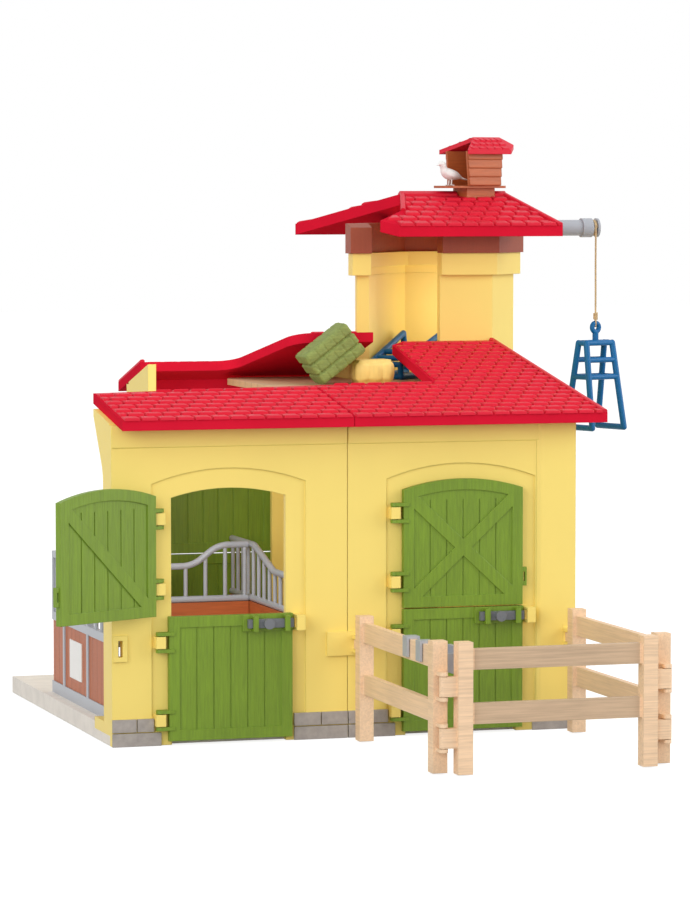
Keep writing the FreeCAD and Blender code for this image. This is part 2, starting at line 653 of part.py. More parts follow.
def lower_leaf(label, side):
    """Rim, boards, hinges and the plate and staples of the sliding bolt."""
    height = "door_split - door_foot"
    core = box("hinge_off", CORE_FACE, "door_foot", "door_w", "core_t", height)
    boards = cut(core, grooves("door_foot + rim_w", "door_split - rim_w"))
    frame = box("hinge_off", LEAF_FACE, "door_foot", "door_w", "leaf_t", height)
    hole = box("hinge_off + rim_w", LEAF_FACE + " - " + EDGE, "door_foot + rim_w", "door_w - 2 * rim_w",
               "leaf_t + 2 * " + EDGE, height + " - 2 * rim_w")
    plate = box(LEAF_END + " - bolt_plate_w", LEAF_FACE + " - bolt_plate_t", "door_split - bolt_plate_h",
                "bolt_plate_w", "bolt_plate_t + (leaf_t - core_t) / 2", "bolt_plate_h")
    parts = [boards, cut(frame, [hole]), plate] + hinge_loops(LOWER_HINGES)
    deep, tall = "bolt_side + 2 * run_gap", "bolt_h + 2 * run_gap"
    for end in ("staple_in", "staple_in + staple_apart"):
        x = "%s - (%s) - staple_w" % (LEAF_END, end)
        loop = box(x, BOLT_FACE + " - run_gap - staple_t", "bolt_z - (%s) / 2 - staple_t" % tall, "staple_w",
                   deep + " + staple_t", tall + " + 2 * staple_t")
        way = box("%s - %s" % (x, EDGE), BOLT_FACE + " - run_gap", "bolt_z - (%s) / 2" % tall,
                  "staple_w + 2 * " + EDGE, deep, tall)
        parts.append(cut(loop, [way]))
    node(place(fuse(parts), *PANELS[side]), label)


def bolt(label, side):
    """The grey bolt: a flat bar with a round knob."""
    shank = box(LEAF_END + " - run_gap - bolt_len", BOLT_FACE, "bolt_z - bolt_h / 2", "bolt_len",
                "bolt_side",
                "bolt_h")
    knob = rod("y", LEAF_END + " - knob_in", BOLT_FACE + " - knob_h", "bolt_z", "knob_r", "knob_h")
    node(place(fuse([shank, knob]), *PANELS[side]), label)


def brace(x0, z0, x1, z1, y, depth):
    """A flat bar from corner to corner of the leaf."""
    ax, az, bx, bz, face, thick, width = nums(x0, z0, x1, z1, y, depth, "brace_w")
    run = Vector(bx - ax, 0, bz - az).normalize()
    side = Vector(-run.z, 0, run.x) * (width / 2)
    reach = run * width
    start, end = Vector(ax, 0, az) - reach, Vector(bx, 0, bz) + reach
    pairs = [(p.x, p.z) for p in (start + side, end + side, end - side, start - side)]
    return feature(slab_xz(pairs, face, face + thick))


def upper_leaf(label, side, turn_back="0"):
    """Arched rim and boards, crossed braces outside, one inside at the front, a catch at the free edge."""
    foot = "door_split + split_gap"
    core = arched("hinge_off", CORE_FACE, foot, "door_w", "core_t", "door_crown", "arch_r")
    shoulder = "door_crown - arch_r + sqrt(arch_r ^ 2 - (door_w / 2) ^ 2)"
    boards = cut(core, grooves(foot + " + rim_w", shoulder + " - rim_w"))
    frame = arched("hinge_off", LEAF_FACE, foot, "door_w", "leaf_t", "door_crown", "arch_r")

    def inside(y, depth):
        return arched("hinge_off + rim_w", y, foot + " + rim_w", "door_w - 2 * rim_w", depth,
                      "door_crown - rim_w", "arch_r - rim_w")

    parts = [boards, cut(frame, [inside(LEAF_FACE + " - " + EDGE, "leaf_t + 2 * " + EDGE)])]
    x0, x1 = "hinge_off + rim_w", LEAF_END + " - rim_w"
    z0, z1 = foot + " + rim_w", shoulder + " - rim_w"
    depth = "(leaf_t - core_t) / 2"
    back = CORE_FACE + " + core_t"
    outer = [brace(x0, z0, x1, z1, LEAF_FACE, depth), brace(x0, z1, x1, z0, LEAF_FACE, depth)]
    parts.append(common(fuse(outer), inside(LEAF_FACE, depth)))
    if side != "back":
        parts.append(common(brace(x0, z0, x1, z1, back, depth), inside(back, depth)))
    catch = box(LEAF_END, CORE_FACE, foot + " + catch_up", "catch_w / 2", "core_t", "catch_h")
    eye = box(LEAF_END + " + catch_w / 8", CORE_FACE + " - " + EDGE, foot + " + catch_up + catch_h / 4",
              "catch_w / 5", "core_t + 2 * " + EDGE, "catch_h / 2")
    parts.append(cut(catch, [eye]))
    parts += hinge_loops(UPPER_HINGES)
    x, y, z, turn = PANELS[side]
    node(place(fuse(parts), x, y, z, "%s - (%s)" % (turn, turn_back)), label)


def doors():
    for side, stands_open in (("left", "open_turn"), ("right", "0"), ("back", "0")):
        hinge_clips(side)
        upper_leaf("door_%s_upper" % side, side, stands_open)
        lower_leaf("door_%s_lower" % side, side)
        bolt("bolt_" + side, side)


# Lower roofs and loft

def sloped(y0, z0, y1, slope, thick, x0, x1):
    """A roof slab of upright thickness that starts at its eave and rises to y1."""
    rise = abs(y1 - y0) * math.tan(math.radians(slope))
    pairs = [(y0, z0), (y1, z0 + rise), (y1, z0 + rise + thick), (y0, z0 + thick)]
    return slab_yz(pairs, x0, x1)


def frame_points(*pairs):
    return [(num(gx(x)), num(gy(y))) for x, y in pairs]


def front_roofs():
    """One slope in two pieces; the right one runs back to the tower, with a notch for the loft."""
    low, high = 0, num("2 * frieze_z")
    eave_y, eave_z, end_y = nums(gy("-eave_out"), "eave_z", gy("tower_y"))
    x0, x1 = nums(gx("0"), gx("roof_right"))
    slope, thick = nums("roof_slope", "roof_t")
    slab = sloped(eave_y, eave_z, end_y, slope, thick, x0, x1)
    middle_y = "strip_left + (strip_right - strip_left) * (wall_w / 2 - roof_left) / (notch_x - roof_left)"
    left = frame_points(("roof_left", "-eave_out"), ("(wall_w - seam_gap) / 2", "-eave_out"),
                        ("(wall_w - seam_gap) / 2", middle_y), ("roof_left", "strip_left"))
    right = frame_points(("(wall_w + seam_gap) / 2", "-eave_out"), ("roof_right", "-eave_out"),
                         ("roof_right", "tower_y - run_gap"), ("tip_x + tip_cut", "tower_y - run_gap"),
                         ("tip_x", "tower_y - run_gap - tip_cut"), ("notch_x", "strip_right"),
                         ("(wall_w + seam_gap) / 2", middle_y))
    node(feature(slab.common(slab_xy(left, low, high))), "roof_front_left")
    node(feature(slab.common(slab_xy(right, low, high))), "roof_front_right")


def back_roof():
    """The back slope, whose inner edge swoops forward beside the tower, and the rib inside the back wall."""
    low, high = 0, num("2 * frieze_z")
    eave_y, eave_z, end_y = nums(gy("plinth_d + back_eave_out"), "back_eave_z", gy("back_edge_high"))
    x0, x1 = nums(gx("back_left"), gx("corner_x"))
    slope, thick, bend = nums("back_slope", "roof_t", "swoop_r")
    slab = sloped(eave_y, eave_z, end_y, slope, thick, x0, x1)
    plan = frame_points(("back_left", "plinth_d + back_eave_out"), ("back_left", "back_edge"),
                        ("swoop_x", "back_edge"), ("swoop_x + swoop_run", "back_edge_high"),
                        ("tower_x", "back_edge_high"), ("tower_x", "corner_y"), ("corner_x", "plinth_d"),
                        ("corner_x", "plinth_d + back_eave_out"))
    skin = slab.common(slab_xy(plan, low, high, {2: bend, 3: bend}))
    left, right, front, back, foot = nums(gx("back_left + wall_t + run_gap"), gx("tower_x - run_gap"),
                                          gy("plinth_d - wall_t - run_gap - rib_t"),
                                          gy("plinth_d - wall_t - run_gap"), "rib_z")
    top = eave_z + (eave_y - front) * math.tan(math.radians(slope)) + thick / 2
    rib = Part.makeBox(right - left, back - front, top - foot, Vector(left, front, foot))
    node(feature(skin.fuse(rib)), "roof_back")


def loft():
    """The loft floor with its rounded left corners, and the post below."""
    z0, z1, corner = nums("loft_top - loft_t", "loft_top", "loft_corner")
    plan = frame_points(("loft_left", "loft_front"), ("loft_right", "loft_front"),
                        ("loft_right", "tower_y"), ("tower_x", "tower_y"),
                        ("tower_x", "loft_back"), ("loft_left", "loft_back"))
    node(feature(slab_xy(plan, z0, z1, {0: corner, 5: corner})), "loft_floor")
    node(box(gx("part_x - post_side / 2"), gy("loft_front + loft_corner"), "plinth_h", "post_side",
             "post_side",
             "loft_top - loft_t - plinth_h"), "loft_post")


# Stalls inside

def grille(start, end, low_end, foot):
    """Upright bars between a bottom rail and a swooping top rail."""
    low, high, bend, thin, thick, step = nums("grille_low", "grille_high", "grille_bend", "bar_r", "rail_r",
                                              "bar_step")
    run = end - start
    along = Vector(run).normalize()
    bend_a, bend_b = along * (run.Length * 0.35), along * (run.Length * 0.65)
    up = Vector(0, 0, 1)
    ends = (low, high) if low_end == "start" else (high, low)
    top = [start + up * ends[0], start + bend_a + up * ends[0], start + bend_b + up * ends[1],
           end + up * ends[1]]
    rail = tube(top, thick, {1: bend, 2: bend})
    shapes = [bar(start + up * foot, end + up * foot, thick)]
    count = int(run.Length // step)
    for i in range(count + 1):
        base = start + along * (thick + (run.Length - 2 * thick) * i / count)
        share = min(1, max(0, ((base - start).Length / run.Length - 0.35) / 0.3))
        share = share * share * (3 - 2 * share)
        shapes.append(bar(base + up * foot, base + up * (ends[0] + (ends[1] - ends[0]) * share), thin))
    return feature(rail.multiFuse(shapes).removeSplitter())


def partition():
    """Boards and a grille between the stalls, and a cross grille behind the left stall."""
    back = "plinth_d - wall_t"
    first = "loft_front + loft_corner + post_side"
    node(box(gx("part_x - board_t / 2"), gy(first), "plinth_h", "board_t", "%s - (%s)" % (back, first),
             "board_top - plinth_h"), "partition_boards")
    foot = num("board_top + rail_r")
    x, y0, y1 = nums(gx("part_x"), gy(first), gy(back))
    node(grille(Vector(x, y0, 0), Vector(x, y1, 0), "start", foot), "partition_grille")
    x0, x1, y = nums(gx("back_left + 2 * wall_t"), gx("part_x - board_t / 2 - run_gap"), gy("cross_y"))
    node(box(gx("back_left + 2 * wall_t"), gy("cross_y - board_t / 2"), "plinth_h",
             "part_x - board_t / 2 - run_gap - back_left - 2 * wall_t", "board_t", "board_top - plinth_h"),
         "cross_boards")
    node(grille(Vector(x0, y, 0), Vector(x1, y, 0), "start", foot), "cross_grille")


def stall_front():
    """The left side: grey posts, sill and rails, brown boards between them, bars above."""
    bays = int(num("stall_bays"))
    length = "stall_end - pier_d"
    x = gx("stall_x")
    sill = box(x, gy("pier_d"), "plinth_h", "stall_t", length, "sill_h")
    middle = box(x, gy("pier_d"), "stall_mid", "stall_t", length, "stall_rail")
    top = box(x, gy("pier_d"), "stall_top - stall_t", "stall_t", length, "stall_t")
    frame = [sill, middle, top]
    boards = []
    bars = []
    posts = ["stall_first + %d * stall_pitch" % i for i in range(bays)]
    for y, end in zip(posts, posts[1:] + ["stall_end"]):
        frame.append(box(x, gy(y), "plinth_h", "stall_t", "stall_t", "stall_top - plinth_h"))
        start = y + " + stall_t"
        run = "%s - (%s)" % (end, start)
        boards.append(box(gx("stall_x + (stall_t - panel_t) / 2"), gy(start), "plinth_h + sill_h",
                          "panel_t", run,
                          "stall_mid - plinth_h - sill_h"))
        for j in (1, 2, 3):
            bars.append(rod("z", gx("stall_x + stall_t / 2"), gy("%s + (%s) * %d / 4" % (start, run, j)),
                            "stall_mid + stall_rail", "bar_r",
                            "stall_top - stall_t - stall_mid - stall_rail"))
    frame.append(box(x, gy("stall_end - stall_t"), "stall_mid", "stall_t", "stall_t",
                     "stall_top - stall_mid"))
    node(fuse(frame + bars), "stall_front_frame")
    node(group(boards), "stall_front_boards")
    middle_y = "stall_first + 1.5 * stall_pitch + stall_t / 2"
    middle_z = "(plinth_h + sill_h + stall_mid) / 2"
    node(box(gx("stall_x + (stall_t - panel_t) / 2 - plate_t"), gy(middle_y + " - plate_w / 2"),
             middle_z + " - plate_h / 2", "plate_t", "plate_w", "plate_h"), "name_plate")


# Tower

def widened(points, out):
    """A closed outline with every side moved outwards by out; the points run clockwise from above."""
    moved = []
    for before, corner, after in zip(points[-1:] + points[:-1], points, points[1:] + points[:1]):
        a = Vector(corner[0] - before[0], corner[1] - before[1], 0).normalize()
        b = Vector(after[0] - corner[0], after[1] - corner[1], 0).normalize()
        side_a, side_b = Vector(-a.y, a.x, 0), Vector(-b.y, b.x, 0)
        step = (side_a + side_b) * (out / (1 + side_a.dot(side_b)))
        moved.append((corner[0] + step.x, corner[1] + step.y))
    return moved


def tower_plan(out):
    """The tower's wall in plan: three cut corners, open at the front from the left jamb to niche_end."""
    x0, x1, y0, y1 = nums(gx("tower_x"), gx("tower_x + tower_w"), gy("tower_y"), gy("plinth_d"))
    corner_x, corner_y, inner_x, inner_y = nums(gx("corner_x"), gy("corner_y"), gx("inner_x"), gy("inner_y"))
    wall, jamb, niche, cf, cb = nums("wall_t", gx("tower_x + jamb_w"), gx("niche_end"), "chamfer_f",
                                     "chamfer_b")
    around = [(x0, y0), (x0, corner_y), (corner_x, y1), (x1 - cb, y1), (x1, y1 - cb), (x1, y0 + cf),
              (x1 - cf, y0)]
    around = widened(around, out)
    front = around[0][1]
    ix, iy0, iy1 = x1 - wall, y0 + wall, y1 - wall
    nf, nb = cf - (2 - math.sqrt(2)) * wall, cb - (2 - math.sqrt(2)) * wall
    return around + [(niche, front), (niche, iy0), (ix - nf, iy0), (ix, iy0 + nf), (ix, iy1 - nb),
                     (ix - nb, iy1),
                     (inner_x, iy1), (jamb, inner_y), (jamb, front)]


def under_cap(foot, extra):
    """The space below the tower roof, raised by extra."""
    y0, y1, y2 = nums(gy("cap_y"), gy("cap_y + cap_half"), gy("cap_y + 2 * cap_half"))
    eave = num("cap_z") + extra
    ridge = eave + num("cap_half * tan(cap_slope)")
    x0, x1 = nums(gx("0"), gx("2 * wall_w"))
    return slab_yz([(y0, foot), (y0, eave), (y1, ridge), (y2, eave), (y2, foot)], x0, x1)


def ledge(right, corner, left, top):
    """A ledge along the back and the cut corner inside the collar, given that wall's three inner points."""
    thick, foot = nums("ledge_t", "ledge_z")
    run = Vector(corner[0] - left[0], corner[1] - left[1], 0).normalize()
    start = (left[0] + run.y * thick, left[1] - run.x * thick)
    reach = (corner[1] - thick - start[1]) / run.y
    bend = (start[0] + run.x * reach, corner[1] - thick)
    return slab_xy([left, corner, right, (right[0], right[1] - thick), bend, start], foot, top)


def tower():
    """Shaft, collar and frieze, each a ring with the same opening, and the floor inside."""
    collar, frieze = nums("collar_z", "frieze_z")
    z0, z1 = nums("loft_top - loft_t", "loft_top")
    shaft = tower_plan(0)
    walls_below = [box(gx("tower_x"), gy("corner_y"), "0", "wall_t", "plinth_d - corner_y", "collar_z"),
                   box(gx("tower_x"), gy("plinth_d - wall_t"), "0", "corner_x - tower_x", "wall_t",
                       "collar_z")]
    below = side_return("0", "wall_w", "tower_y", "back_eave_z + back_eave_out * tan(back_slope)",
                        "back_slope", "0")
    place(below, gx("wall_w"), gy("plinth_d"), "0", "180")
    corner = common(fuse(walls_below), below)
    node(fuse([feature(slab_xy(shaft, 0, collar)), corner]), "tower_shaft")
    ring = slab_xy(tower_plan(num("collar_out")), collar, frieze)
    node(feature(ring.fuse(ledge(shaft[12], shaft[13], shaft[14], frieze))), "tower_collar")
    space = under_cap(frieze, 0)
    ring = slab_xy(tower_plan(num("frieze_out")), frieze, space.BoundBox.ZMax)
    arm_y, arm_z, arm_r, fit = nums(gy("arm_y"), "arm_z", "arm_r", "pin_fit")
    bore = Part.makeCylinder(arm_r + fit, num("wall_w"), Vector(num(gx("niche_end")), arm_y, arm_z),
                             Vector(1, 0, 0))
    x0, x1, top = nums(gx("0"), gx("inner_x"), "frieze_open")
    beside = slab_xy([(x0, shaft[0][1] - top), (x1, shaft[0][1] - top), (x1, top), (x0, top)], top, 2 * top)
    node(feature(ring.common(space).cut(bore).cut(beside)), "tower_frieze")
    node(feature(slab_xy([shaft[15]] + shaft[7:15], z0, z1)), "tower_floor")


def cap_slab(eave_y, ridge_y, eave_z, rise, thick, plan):
    """One slope of a ridged roof, trimmed to its plan."""
    pairs = [(eave_y, eave_z), (ridge_y, eave_z + rise), (ridge_y, eave_z + rise + thick),
             (eave_y, eave_z + thick)]
    xs = [x for x, y in plan]
    slab = slab_yz(pairs, min(xs), max(xs))
    return feature(slab.common(slab_xy(plan, eave_z - rise, eave_z + 2 * rise + 2 * thick)))


def tower_roof():
    """Two slopes that part at the ridge; both are cut back over the tower's opening."""
    eave_z, thick, split, rise = nums("cap_z", "cap_t", "cap_split / 2", "cap_half * tan(cap_slope)")
    y0, y1, y2 = nums(gy("cap_y"), gy("cap_y + cap_half"), gy("cap_y + 2 * cap_half"))
    ridge = nums(gx("cap_ridge_l"), gx("cap_ridge_r"))
    front = nums(gx("cap_front_l"), gx("cap_right"))
    back = nums(gx("cap_back_l"), gx("cap_right"))
    lift = rise * (1 - split / num("cap_half"))
    corner, nook_x, nook_y = nums("cap_cut", gx("cap_nook_x"), gy("cap_y + cap_nook"))
    near = [(front[0] + corner, y0), (front[1], y0), (ridge[1], y1 - split), (ridge[0], y1 - split),
            (nook_x, nook_y),
            (front[0], y0 + corner)]
    far = [(back[0], y2), (back[1], y2), (ridge[1], y1 + split), (ridge[0], y1 + split)]
    node(cap_slab(y0, y1 - split, eave_z, lift, thick, near), "tower_roof_front")
    node(cap_slab(y2, y1 + split, eave_z, lift, thick, far), "tower_roof_back")


def on_ridge(item):
    """Carries a piece from the dovecote's own frame to its place on the ridge."""
    return place(item, gx("cote_x"), gy("cote_y"), "0", "cote_turn")


def dovecote():
    """Foot over the ridge, perch plate, boarded house open to the left, and its own small roof."""
    foot = on_ridge(group([box("-cote_w / 2", "-cote_d / 2", "cap_z", "cote_w", "cote_d",
                               "perch_z - cap_z")]))
    node(cut(foot, [feature(under_cap(0, num("cap_t")))]), "dovecote_foot")
    plate = box("-perch_l", "-perch_d / 2", "perch_z", "perch_l + perch_r", "perch_d", "perch_t")
    node(on_ridge(group([plate])), "dovecote_perch")

    half, deep, wall, flare = nums("house_w / 2", "house_d / 2", "house_t", "house_flare")
    z0, z1 = nums("perch_z + perch_t", "perch_z + perch_t + house_h")
    shell = slab_xz([(-half, z0), (half, z0), (half + flare, z1), (-half - flare, z1)], -deep, deep)
    left = -half - flare - wall
    room = slab_xz([(left, z0), (half - wall, z0), (half - wall + flare, z1), (left, z1)], wall - deep,
                   deep - wall)
    node(on_ridge(feature(shell.cut(room))), "dovecote_house")

    rise, thick, span, corner = nums("lid_rise", "lid_t", "lid_half", "lid_corner")
    front_l, back_l, right = nums("-lid_front_l", "-lid_left", "lid_right")
    ridge_l, ridge_r = nums("-lid_ridge_l", "lid_ridge_r")
    eave = z1 - rise * (span - deep) / span
    slopes = []
    for way, left in ((-1, front_l), (1, back_l)):
        plan = [(left, way * span), (right - corner, way * span), (right, way * (span - corner)),
                (ridge_r, 0),
                (ridge_l, 0)]
        slopes.append(cap_slab(way * span, 0, eave, rise, thick, plan))
    node(on_ridge(fuse(slopes)), "dovecote_roof")


def dove():
    """A small bird on the perch: body, neck, head, beak, tail and legs."""
    base, leg, length, girth, head = nums("perch_z + perch_t", "dove_leg", "dove_len", "dove_r", "dove_head")
    x = num("-dove_x")
    body = Part.makeSphere(1)
    stretch = FreeCAD.Matrix()
    stretch.scale(length, girth, girth)
    body = body.transformGeometry(stretch)
    body.translate(Vector(x, 0, base + leg + girth))
    crown = Vector(x - length * 0.5, 0, base + leg + 2 * girth + head * 0.9)
    skull = Part.makeSphere(head, crown)
    neck = Part.makeCone(girth * 0.8, head * 0.8, crown.z - base - leg - girth,
                         Vector(x - length * 0.35, 0, base + leg + girth), Vector(-0.2, 0, 1))
    beak = Part.makeCone(head * 0.4, 0, head * 1.1, crown - Vector(head * 0.8, 0, 0), Vector(-1, 0, -0.25))
    tail = Part.makeCone(girth * 0.7, girth * 0.25, length * 0.5,
                         Vector(x + length * 0.6, 0, base + leg + girth),
                         Vector(1, 0, -0.15))
    legs = Part.makeBox(girth, girth, leg + girth, Vector(x - girth / 2, -girth / 2, base))
    node(on_ridge(feature(body.multiFuse([skull, neck, beak, tail, legs]))), "dove")


# Crane

def crane():
    """The arm in the frieze, the rope guide on its spindle, and the rope down to the rack."""
    start = "tower_x + tower_w - wall_t"
    shaft = rod("x", gx(start), gy("arm_y"), "arm_z", "arm_r", "arm_end - (%s)" % start)
    spindle = rod("x", gx(start), gy("arm_y"), "arm_z", "spindle_r", "guide_end - (%s)" % start)
    node(fuse([shaft, spindle]), "crane_arm")

    first = "arm_end"
    groove = "guide_end - flange_t - guide_slot"
    hub = rod("x", gx(first), gy("arm_y"), "arm_z", "groove_r", "guide_end - (%s)" % first)
    inner = rod("x", gx(first), gy("arm_y"), "arm_z", "guide_r", "%s - (%s)" % (groove, first))
    outer = rod("x", gx("guide_end - flange_t"), gy("arm_y"), "arm_z", "guide_r", "flange_t")
    bore = rod("x", gx("arm_end - %s" % EDGE), gy("arm_y"), "arm_z", "spindle_r",
               "guide_end - arm_end + 2 * " + EDGE)
    node(cut(fuse([hub, inner, outer]), [bore]), "rope_guide")
    node(rod("z", gx(ROPE_X), gy(ROPE_Y), "rope_foot", "rope_r", "arm_z - rope_foot"), "hoist_rope")


ROPE_X = "guide_end - flange_t - guide_slot / 2"
ROPE_Y = "arm_y - groove_r - rope_r - run_gap"


def rack_shape():
    """A saddle trestle in its own frame: feet at z = 0, the upper frame on top."""
    top, wide, spread, deep, splay = nums("rack_top - rack_foot - rack_r", "rack_w / 2", "rack_spread / 2",
                                          "rack_d / 2", "rack_splay / 2")
    thick, shelf, between = nums("rack_r", "rack_shelf", "rack_mid")
    corners = [(-1, -1), (1, -1), (1, 1), (-1, 1)]

    def leg_at(sx, sy, z):
        share = (top - z) / (top - thick)
        return Vector(sx * (wide + (spread - wide) * share), sy * (deep + (splay - deep) * share), z)

    shapes = []
    for sx, sy in corners:
        shapes.append(bar(leg_at(sx, sy, thick), leg_at(sx, sy, top), thick))
        shapes.append(Part.makeSphere(thick, leg_at(sx, sy, top)))
        shapes.append(Part.makeSphere(thick, leg_at(sx, sy, thick)))
    for z in (top, top - shelf):
        for (ax, ay), (bx, by) in zip(corners, corners[1:] + corners[:1]):
            shapes.append(bar(leg_at(ax, ay, z), leg_at(bx, by, z), thick * 0.9))
    for sy in (-1, 1):
        shapes.append(bar(leg_at(-1, sy, top - between), leg_at(1, sy, top - between), thick * 0.9))
    for sx in (-1, 1):
        shapes.append(bar(leg_at(sx, -1, thick), leg_at(sx, 1, thick), thick))
    return shapes[0].multiFuse(shapes[1:])


def racks():
    """One rack hangs on the rope by its ring, the other lies on its side in the tower."""
    top, foot, thick, ring = nums("rack_top - rack_foot - rack_r", "rack_foot", "rack_r", "ring_r")
    wide, wire, turn = nums("rack_w / 2", "0.8 * rack_r", "rack_turn")
    x, y, rope_foot = nums(gx(ROPE_X), gy(ROPE_Y), "rope_foot")
    eye = Vector(0, 0, rope_foot - foot - ring - wire)
    loop = Part.makeTorus(ring, wire, eye, Vector(0, 1, 0))
    neck = bar(Vector(0, 0, top), Vector(0, 0, eye.z - ring), thick)
    spine = bar(Vector(-wide, 0, top), Vector(wide, 0, top), thick)
    hung = rack_shape().multiFuse([loop, neck, spine])
    hung.rotate(Vector(), Vector(0, 0, 1), turn)
    hung.translate(Vector(x, y, foot))
    node(feature(hung), "rack_hung")

    lying = rack_shape()
    lean = num("atan((rack_splay - rack_d) / 2 / (rack_top - rack_foot - 2 * rack_r))")
    lie_x, lie_y, floor, lie_turn = nums(gx("rack_lie_x"), gy("rack_lie_y"), "loft_top", "rack_lie_turn")
    lying.rotate(Vector(), Vector(0, 0, 1), 90)
    lying.rotate(Vector(), Vector(0, 1, 0), -90 - lean)
    lying.rotate(Vector(), Vector(0, 0, 1), lie_turn)
    lying.translate(Vector(lie_x, lie_y, floor - lying.BoundBox.ZMin))
    node(feature(lying), "rack_lying")


# Fodder on the loft

def hay_bale():
    """A pressed bale with two cord grooves along it; it leans over the straw bundle."""
    length, height, depth, nick, tilt = nums("bale_l", "bale_h", "bale_d", "bale_nick", "bale_tilt")
    block = Part.makeBox(length, depth, height, Vector(-length / 2, -depth / 2, -height / 2))
    soft = block.makeFillet(nick, block.Edges)
    for share in (-1 / 6, 1 / 6):
        low = share * height - nick / 2
        ring = Part.makeBox(length + nick, depth + nick, nick,
                            Vector(-(length + nick) / 2, -(depth + nick) / 2, low))
        core = Part.makeBox(length - nick, depth - nick, nick,
                            Vector(-(length - nick) / 2, -(depth - nick) / 2, low))
        soft = soft.cut(ring.cut(core))
    soft.rotate(Vector(), Vector(0, 1, 0), -tilt)
    x, y, floor = nums(gx("bale_x"), gy("bale_y"), "loft_top")
    soft.translate(Vector(x, y, floor - soft.BoundBox.ZMin))
    node(feature(soft), "hay_bale")


def straw_bundle():
    """A straw sheaf: round lobes side by side on a flat foot."""
    lobes = int(num("straw_lobes"))
    x0, y0, z0, width, height, depth = nums(gx("straw_x"), gy("straw_y - straw_d / 2"), "loft_top",
                                            "straw_w",
                                           "straw_h", "straw_d")
    pitch = width / lobes
    block = Part.makeBox(width - pitch / 2, depth - pitch / 2, height,
                         Vector(x0 + pitch / 4, y0 + pitch / 4, z0))
    shapes = []
    for i in range(lobes):
        middle = x0 + pitch * (i + 0.5)
        for y in (y0 + pitch / 2, y0 + depth - pitch / 2):
            shapes.append(Part.makeCylinder(pitch / 2, height, Vector(middle, y, z0)))
    node(feature(block.multiFuse(shapes).removeSplitter()), "straw_bundle")


# Fence

def wall_clip(label, x, plate_x0, plate_x1):
    """A clip on the wall: a plate, two ears and the pin that the fence turns on."""
    foot = "lug_z - lug_h / 2 - run_gap - arm_t"
    plate = box(gx(plate_x0), gy("-clip_plate"), "lug_z - clip_plate_h / 2",
                "%s - (%s)" % (plate_x1, plate_x0),
                "clip_plate", "clip_plate_h")
    parts = [plate]
    for z in (foot, "lug_z + lug_h / 2 + run_gap"):
        parts.append(box(gx("%s - knuckle_r" % x), gy("-fence_y"), z, "2 * knuckle_r", "fence_y", "arm_t"))
        parts.append(rod("z", gx(x), gy("-fence_y"), z, "knuckle_r", "arm_t"))
    parts.append(rod("z", gx(x), gy("-fence_y"), foot, "pin_r", "lug_h + 2 * run_gap + 2 * arm_t"))
    node(fuse(parts), label)


def wall_lug(x):
    """An eye round the wall clip's pin, on a tongue from the back post."""
    foot = "lug_z - lug_h / 2"
    tongue = box(gx("%s - knuckle_r" % x), gy(BACK_POST + " + fence_post / 2"), foot, "2 * knuckle_r",
                 "fence_back + fence_post / 2", "lug_h")
    eye = rod("z", gx(x), gy("-fence_y"), foot, "knuckle_r", "lug_h")
    hole = rod("z", gx(x), gy("-fence_y"), foot + " - " + EDGE, "pin_r + pin_fit", "lug_h + 2 * " + EDGE)
    return [tongue, eye], hole


CORNER_Y = "-fence_y - fence_d"
BACK_POST = "-fence_y - fence_back - fence_post"
FRONT_POST = "-fence_y - fence_d + fence_corner"


def fence_side(label, x):
    """A side panel: two posts, two rails, an eye at the wall and ears with pins at the corner."""
    half = "%s - fence_post / 2" % x
    height = "fence_top - fence_lift"
    parts = [box(gx(half), gy(y), "fence_lift", "fence_post", "fence_post", height)
             for y in (BACK_POST, FRONT_POST)]
    for z in ("fence_rail_a", "fence_rail_b"):
        parts.append(box(gx("%s - fence_rail_t / 2" % x), gy(FRONT_POST), z, "fence_rail_t",
                         "%s - (%s)" % (BACK_POST, FRONT_POST), "fence_rail_h"))
    tongue, hole = wall_lug(x)
    parts += tongue
    pins = []
    for z in ("lug_low", "lug_high"):
        foot = "%s - corner_lug_h / 2 - run_gap - arm_t" % z
        for level in (foot, "%s + corner_lug_h / 2 + run_gap" % z):
            parts.append(box(gx("%s - knuckle_r" % x), gy(CORNER_Y), level, "2 * knuckle_r",
                             "fence_corner + fence_post / 2", "arm_t"))
            parts.append(rod("z", gx(x), gy(CORNER_Y), level, "knuckle_r", "arm_t"))
        pins.append(rod("z", gx(x), gy(CORNER_Y), foot, "pin_r",
                        "corner_lug_h + 2 * run_gap + 2 * arm_t"))
    node(fuse([cut(fuse(parts), [hole])] + pins), label)


def fence_front():
    """The front panel: two posts, two rails, and an eye at each corner; the right eyes unclip."""
    y = CORNER_Y + " - fence_post / 2"
    height = "fence_top - fence_lift"
    left, right = "fence_l + fence_side", "fence_r - fence_side - fence_post"
    parts = [box(gx(x), gy(y), "fence_lift", "fence_post", "fence_post", height) for x in (left, right)]
    for z in ("fence_rail_a", "fence_rail_b"):
        parts.append(box(gx(left), gy(CORNER_Y + " - fence_rail_t / 2"), z, "%s - (%s)" % (right, left),
                         "fence_rail_t",
                         "fence_rail_h"))
    holes = []
    for z in ("lug_low", "lug_high"):
        for x0, x, fit in ((left + " + fence_post / 2", "fence_l", "pin_fit"),
                           (right + " + fence_post / 2", "fence_r", "open_fit")):
            tongue, hole = corner_lug(x0, x, z, fit)
            parts += tongue
            holes.append(hole)
    node(cut(fuse(parts), holes), "fence_front")


